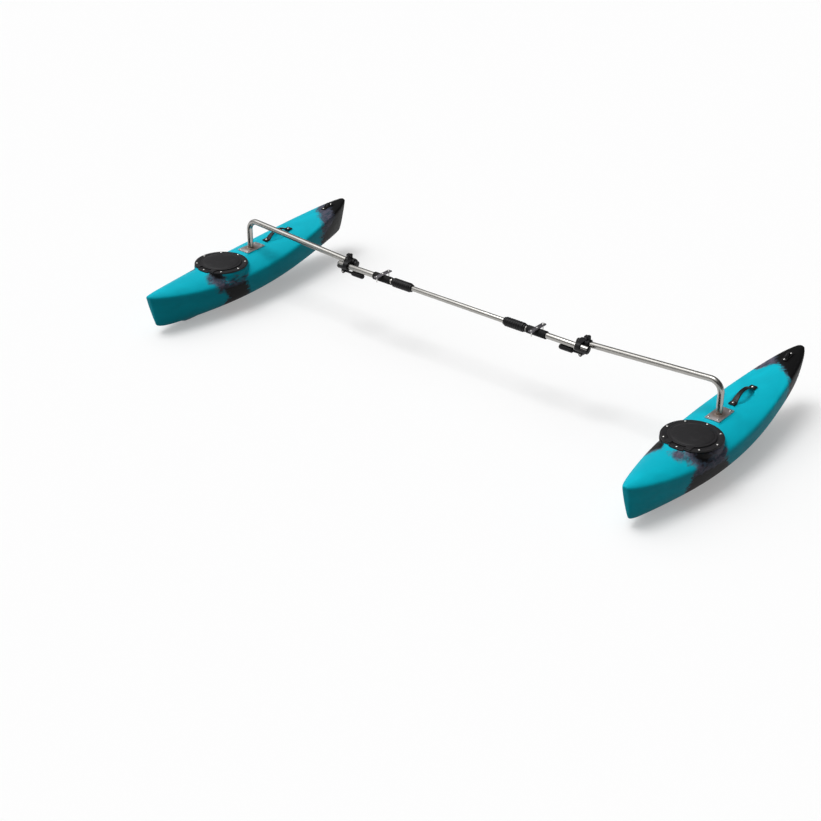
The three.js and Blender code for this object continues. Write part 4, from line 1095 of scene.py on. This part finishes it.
# %% Collar and sleeve
RIBS, RIB_START, RIB_PITCH = 7, 218.5, 9.6
RIB_SIDE = [(17, 0), (15.8, 1.3), (15.8, 3.4), (17, 4.7)]
COLLAR_FRONT = [(9.9, 208), (14, 208), (14.5, 209), (14.5, 214), (16.4, 215.2), (17, 216.4)]
COLLAR_BACK = [(17, 289.6), (16.4, 290.8), (14.5, 292), (14.5, 297), (14, 298), (11.3, 298),
               (11.3, 235.7), (9.9, 235.7)]
RUBBER_SIDE = [(11.3, 306), (14.5, 306), (14.5, 386), (11.3, 386)]
ribs = [(radius, RIB_START + RIB_PITCH * rib + along)
        for rib in range(RIBS) for radius, along in RIB_SIDE]
collar = eased(spun(COLLAR_FRONT + ribs + COLLAR_BACK, 64, closed=True), 0.35, 1, 25)
collar = mesh_of(moved(collar, BAR))
on_both_ends("ribbed_collar", collar, clamp_black, ["lock_collar"])
rubber = mesh_of(moved(eased(spun(RUBBER_SIDE, 64, closed=True), 1.0, 3), BAR))
on_both_ends("rubber_sleeve", rubber, rubber_black, ["gunwale_sleeve"])
print("collar has", RIBS, "ribs")

# %% Strap over the sleeve and its screws
STRAP_X, STRAP_TOP, STRAP_THICK, STRAP_HALF = 346.0, 279.8, 3.0, 9.5
STRAP_FRONT, STRAP_BACK, STRAP_CORNER = -71.0, 15.0, 5.0
# where each screw stands and how long its shank is
STRAP_SCREWS = {"front": (-62, 22.3), "middle": (BAR_Y, 6.5), "back": (6, 22.3)}
band = box((STRAP_X - STRAP_HALF, STRAP_FRONT, STRAP_TOP - STRAP_THICK),
           (STRAP_X + STRAP_HALF, STRAP_BACK, STRAP_TOP))
band = mesh_of(eased(round_corners(band, STRAP_CORNER, 6), 0.5, 2, 40))
on_both_ends("bar_strap", band, strap_steel, ["gunwale_strap"])
for name, (y, shank) in STRAP_SCREWS.items():
    screw = screws(screw_head(radius=4.4, height=2.5, shank=shank), [shift(STRAP_X, y, STRAP_TOP)])
    on_both_ends(f"bar_strap_screw_{name}", screw, screw_steel,
                 [f"strap_screw_{name}"])
print("strap lies", STRAP_TOP - STRAP_THICK, "mm above the ground")

# %% [markdown]
# ## Clamp
# One glass-filled moulding holds both tubes: a sleeve round the arm that a bolt pinches, a band
# round both, a saddle under the bar and two ears for the cam lever. Its parts grow into one
# another with soft corners, so they are drawn as plain shapes that overlap and melted together
# like the hull. The bores, the split and the cam's window are cut afterwards and stay crisp.

# %% Places of the clamp's parts, from the middle of the bar
CLAMP_RADIUS, BAND_LOW, BAND_LONG, SADDLE_LOW = 17.0, 510.0, 20.0, 529.0
PIVOT_X, PIVOT_Z, PIN_BORE, PIN_REACH = 532.0, -22.5, 2.7, 16.0
EAR_RADIUS, EAR_IN, EAR_OUT, EAR_TOP = 7.0, 6.9, 11.9, -11.4
ABOVE_SADDLE = (500, -20, 0), (560, 20, 20)
WINDOW_HALF, WINDOW_WIDE, WINDOW_LOW, WINDOW_TOP = 8.9, 6.4, -25.5, -8.0
BAR_BORE, BORE_LOW, BORE_HIGH = 11.3, 490.0, 575.0
CLAMP_GRAIN = 0.85
# these are measured along the arm, from its inner end
SLEEVE_LOW, SLEEVE_HIGH = 8.0, 48.0
BOLT, BOLT_UP, BOLT_BORE, BOLT_REACH = 36.0, 23.0, 3.3, 12.0
LUG_HALF, LUG_WIDE, LUG_TOP = 10.0, 7.5, 29.0
SLIT_LOW, SLIT_HIGH, SLIT_WIDE, SLIT_START, SLIT_TOP = 2.0, 60.0, 1.5, 0.4, 33.0
ARM_START, ARM_LIFT = FLOAT_X - ARM_REACH, ARM_RISE - ARM_DROP - (BAR_Z - SEAT)
ARM_IN_BAR = shift(x=ARM_START, y=-BAR_Y, z=ARM_LIFT) @ Matrix.Rotation(-slope, 4, "Y")
print("arm starts", ARM_START, "mm out and", round(ARM_LIFT, 2), "mm above the bar")


# %% Round bars that lie down
def lying(radius, low, high, steps=64):
    """A round bar that lies along X."""
    return moved(disc(radius, low, high, steps), turn(90, "Y"))


def crosswise(radius, low, high, steps=24):
    """A round bar that lies along Y."""
    return moved(disc(radius, low, high, steps), turn(-90, "X"))


# %% Plain shapes of the clamp
to_arm = Vector((0, -BAR_Y, ARM_LIFT + (BAND_LOW + BAND_LONG / 2 - ARM_START) * math.tan(slope)))
band = bmesh.new()
circle = bmesh.ops.create_circle(band, segments=64, radius=CLAMP_RADIUS, cap_ends=True,
                                 matrix=turn(90, "Y"))["verts"]
for vert in circle:
    if vert.co.dot(to_arm) > 0:
        vert.co += to_arm
band = moved(pulled(band, (BAND_LONG, 0, 0)), shift(x=BAND_LOW))
sleeve = lying(CLAMP_RADIUS, SLEEVE_LOW, SLEEVE_HIGH)
lugs = box((BOLT - LUG_HALF, -LUG_WIDE, 0), (BOLT + LUG_HALF, LUG_WIDE, LUG_TOP))
saddle = carved(mesh_of(lying(CLAMP_RADIUS, SADDLE_LOW, BAR_END)), box(*ABOVE_SADDLE))
ears = []
for side in (-1, 1):
    low_y, high_y = sorted((side * EAR_IN, side * EAR_OUT))
    ear = moved(crosswise(EAR_RADIUS, low_y, high_y, 48), shift(x=PIVOT_X, z=PIVOT_Z))
    neck = box((PIVOT_X - EAR_RADIUS, low_y, PIVOT_Z), (PIVOT_X + EAR_RADIUS, high_y, EAR_TOP))
    ears += [ear, neck]
print("band reaches", round(to_arm.length, 1), "mm from the bar to the arm")

# %% Clamp body
lump = joined(band, moved(sleeve, ARM_IN_BAR), moved(lugs, ARM_IN_BAR), copy_of(saddle), *ears)
body = moulded(mesh_of(lump), CLAMP_GRAIN, passes=4)
window = box((PIVOT_X - WINDOW_HALF, -WINDOW_WIDE, WINDOW_LOW),
             (PIVOT_X + WINDOW_HALF, WINDOW_WIDE, WINDOW_TOP))
slit = box((SLIT_LOW, -SLIT_WIDE, SLIT_START), (SLIT_HIGH, SLIT_WIDE, SLIT_TOP))
cuts = [
    joined(lying(BAR_BORE, BORE_LOW, BORE_HIGH), window),
    moved(joined(lying(BAR_BORE, SLIT_LOW, SLIT_HIGH), slit), ARM_IN_BAR),
    moved(crosswise(BOLT_BORE, -BOLT_REACH, BOLT_REACH), shift(x=BOLT, z=BOLT_UP), ARM_IN_BAR),
    moved(crosswise(PIN_BORE, -PIN_REACH, PIN_REACH), shift(x=PIVOT_X, z=PIVOT_Z)),
]
body = carved(body, *cuts)
body.transform(BAR_MIDDLE)
on_both_ends("clamp_moulding", body, clamp_black, ["clamp_body"], smooth=45)
print("clamp has", len(body.polygons), "faces")

# %% Bolt and nut
HEAD_RADIUS, HEAD_LOW, HEAD_HIGH = 5.0, -11.8, -7.8
SHANK_RADIUS, SHANK_LOW, SHANK_HIGH = 3.0, -9.8, 15.4
NUT_SIDE = [(3.3, 7.8), (5.6, 7.8), (5.6, 12.4), (3.3, 12.4)]
SIX_SIDES = 6
at_bolt = BAR_MIDDLE @ ARM_IN_BAR @ shift(x=BOLT, z=BOLT_UP) @ turn(-90, "X")
head = eased(disc(HEAD_RADIUS, HEAD_LOW, HEAD_HIGH, SIX_SIDES), 0.5, 2, 40)
bolt = moved(joined(head, disc(SHANK_RADIUS, SHANK_LOW, SHANK_HIGH, 24)), at_bolt)
on_both_ends("clamp_bolt", mesh_of(bolt), bolt_steel, ["pinch_bolt"])
nut = moved(eased(spun(NUT_SIDE, SIX_SIDES, closed=True), 0.4, 2, 40), at_bolt)
on_both_ends("clamp_nut", mesh_of(nut), bolt_steel, ["pinch_nut"])
print("bolt is", round(SHANK_HIGH - HEAD_LOW, 1), "mm long")

# %% Cam lever
CAM_RADIUS, CAM_HALF, CAM_BORE_HALF = 6.2, 6.5, 9.0
GRIP_SIDE = [(0, 0), (4.4, 0), (4.4, 33), (5.2, 35.4), (7.8, 37.2), (9.2, 39.5), (9.5, 43),
             (9.5, 84.5), (8.9, 88), (7.2, 90.6), (4.5, 91.8), (0, 92)]
cam = moved(eased(disc(CAM_RADIUS, -CAM_HALF, CAM_HALF, 48), 0.8, 2), turn(-90, "X"))
grip = moved(spun(GRIP_SIDE, 48), turn(-90, "Y"))
pin_bore = moved(disc(PIN_BORE, -CAM_BORE_HALF, CAM_BORE_HALF, 24), turn(90, "X"))
lever = carved(mesh_of(joined(cam, grip)), pin_bore)
lever.transform(BAR_MIDDLE @ shift(x=PIVOT_X, z=PIVOT_Z))
on_both_ends("cam_lever", lever, clamp_black, ["clamp_lever"], body="lever")
print("lever is", GRIP_SIDE[-1][1], "mm long from its pin")

# %% [markdown]
# ## Small pieces left as solids
# The lever's pin, the shoe that the cam presses on the bar and the two pins of each hinge are plain
# shapes that hardly show. Their solids are right as they are and only take a better finish.

# %% Finishes of the solids that stay
LEFT = {"lever_pin": screw_steel, "clamp_shoe": rubber_black, "hinge_pin_inner": screw_steel,
        "hinge_pin_outer": screw_steel}
for node_name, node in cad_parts.items():
    for ending, finish in LEFT.items():
        if node_name.endswith(ending):
            node.data.materials.clear()
            node.data.materials.append(finish)
shown = [name for name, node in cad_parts.items() if not node.hide_render]
print("solids that still show:", shown)
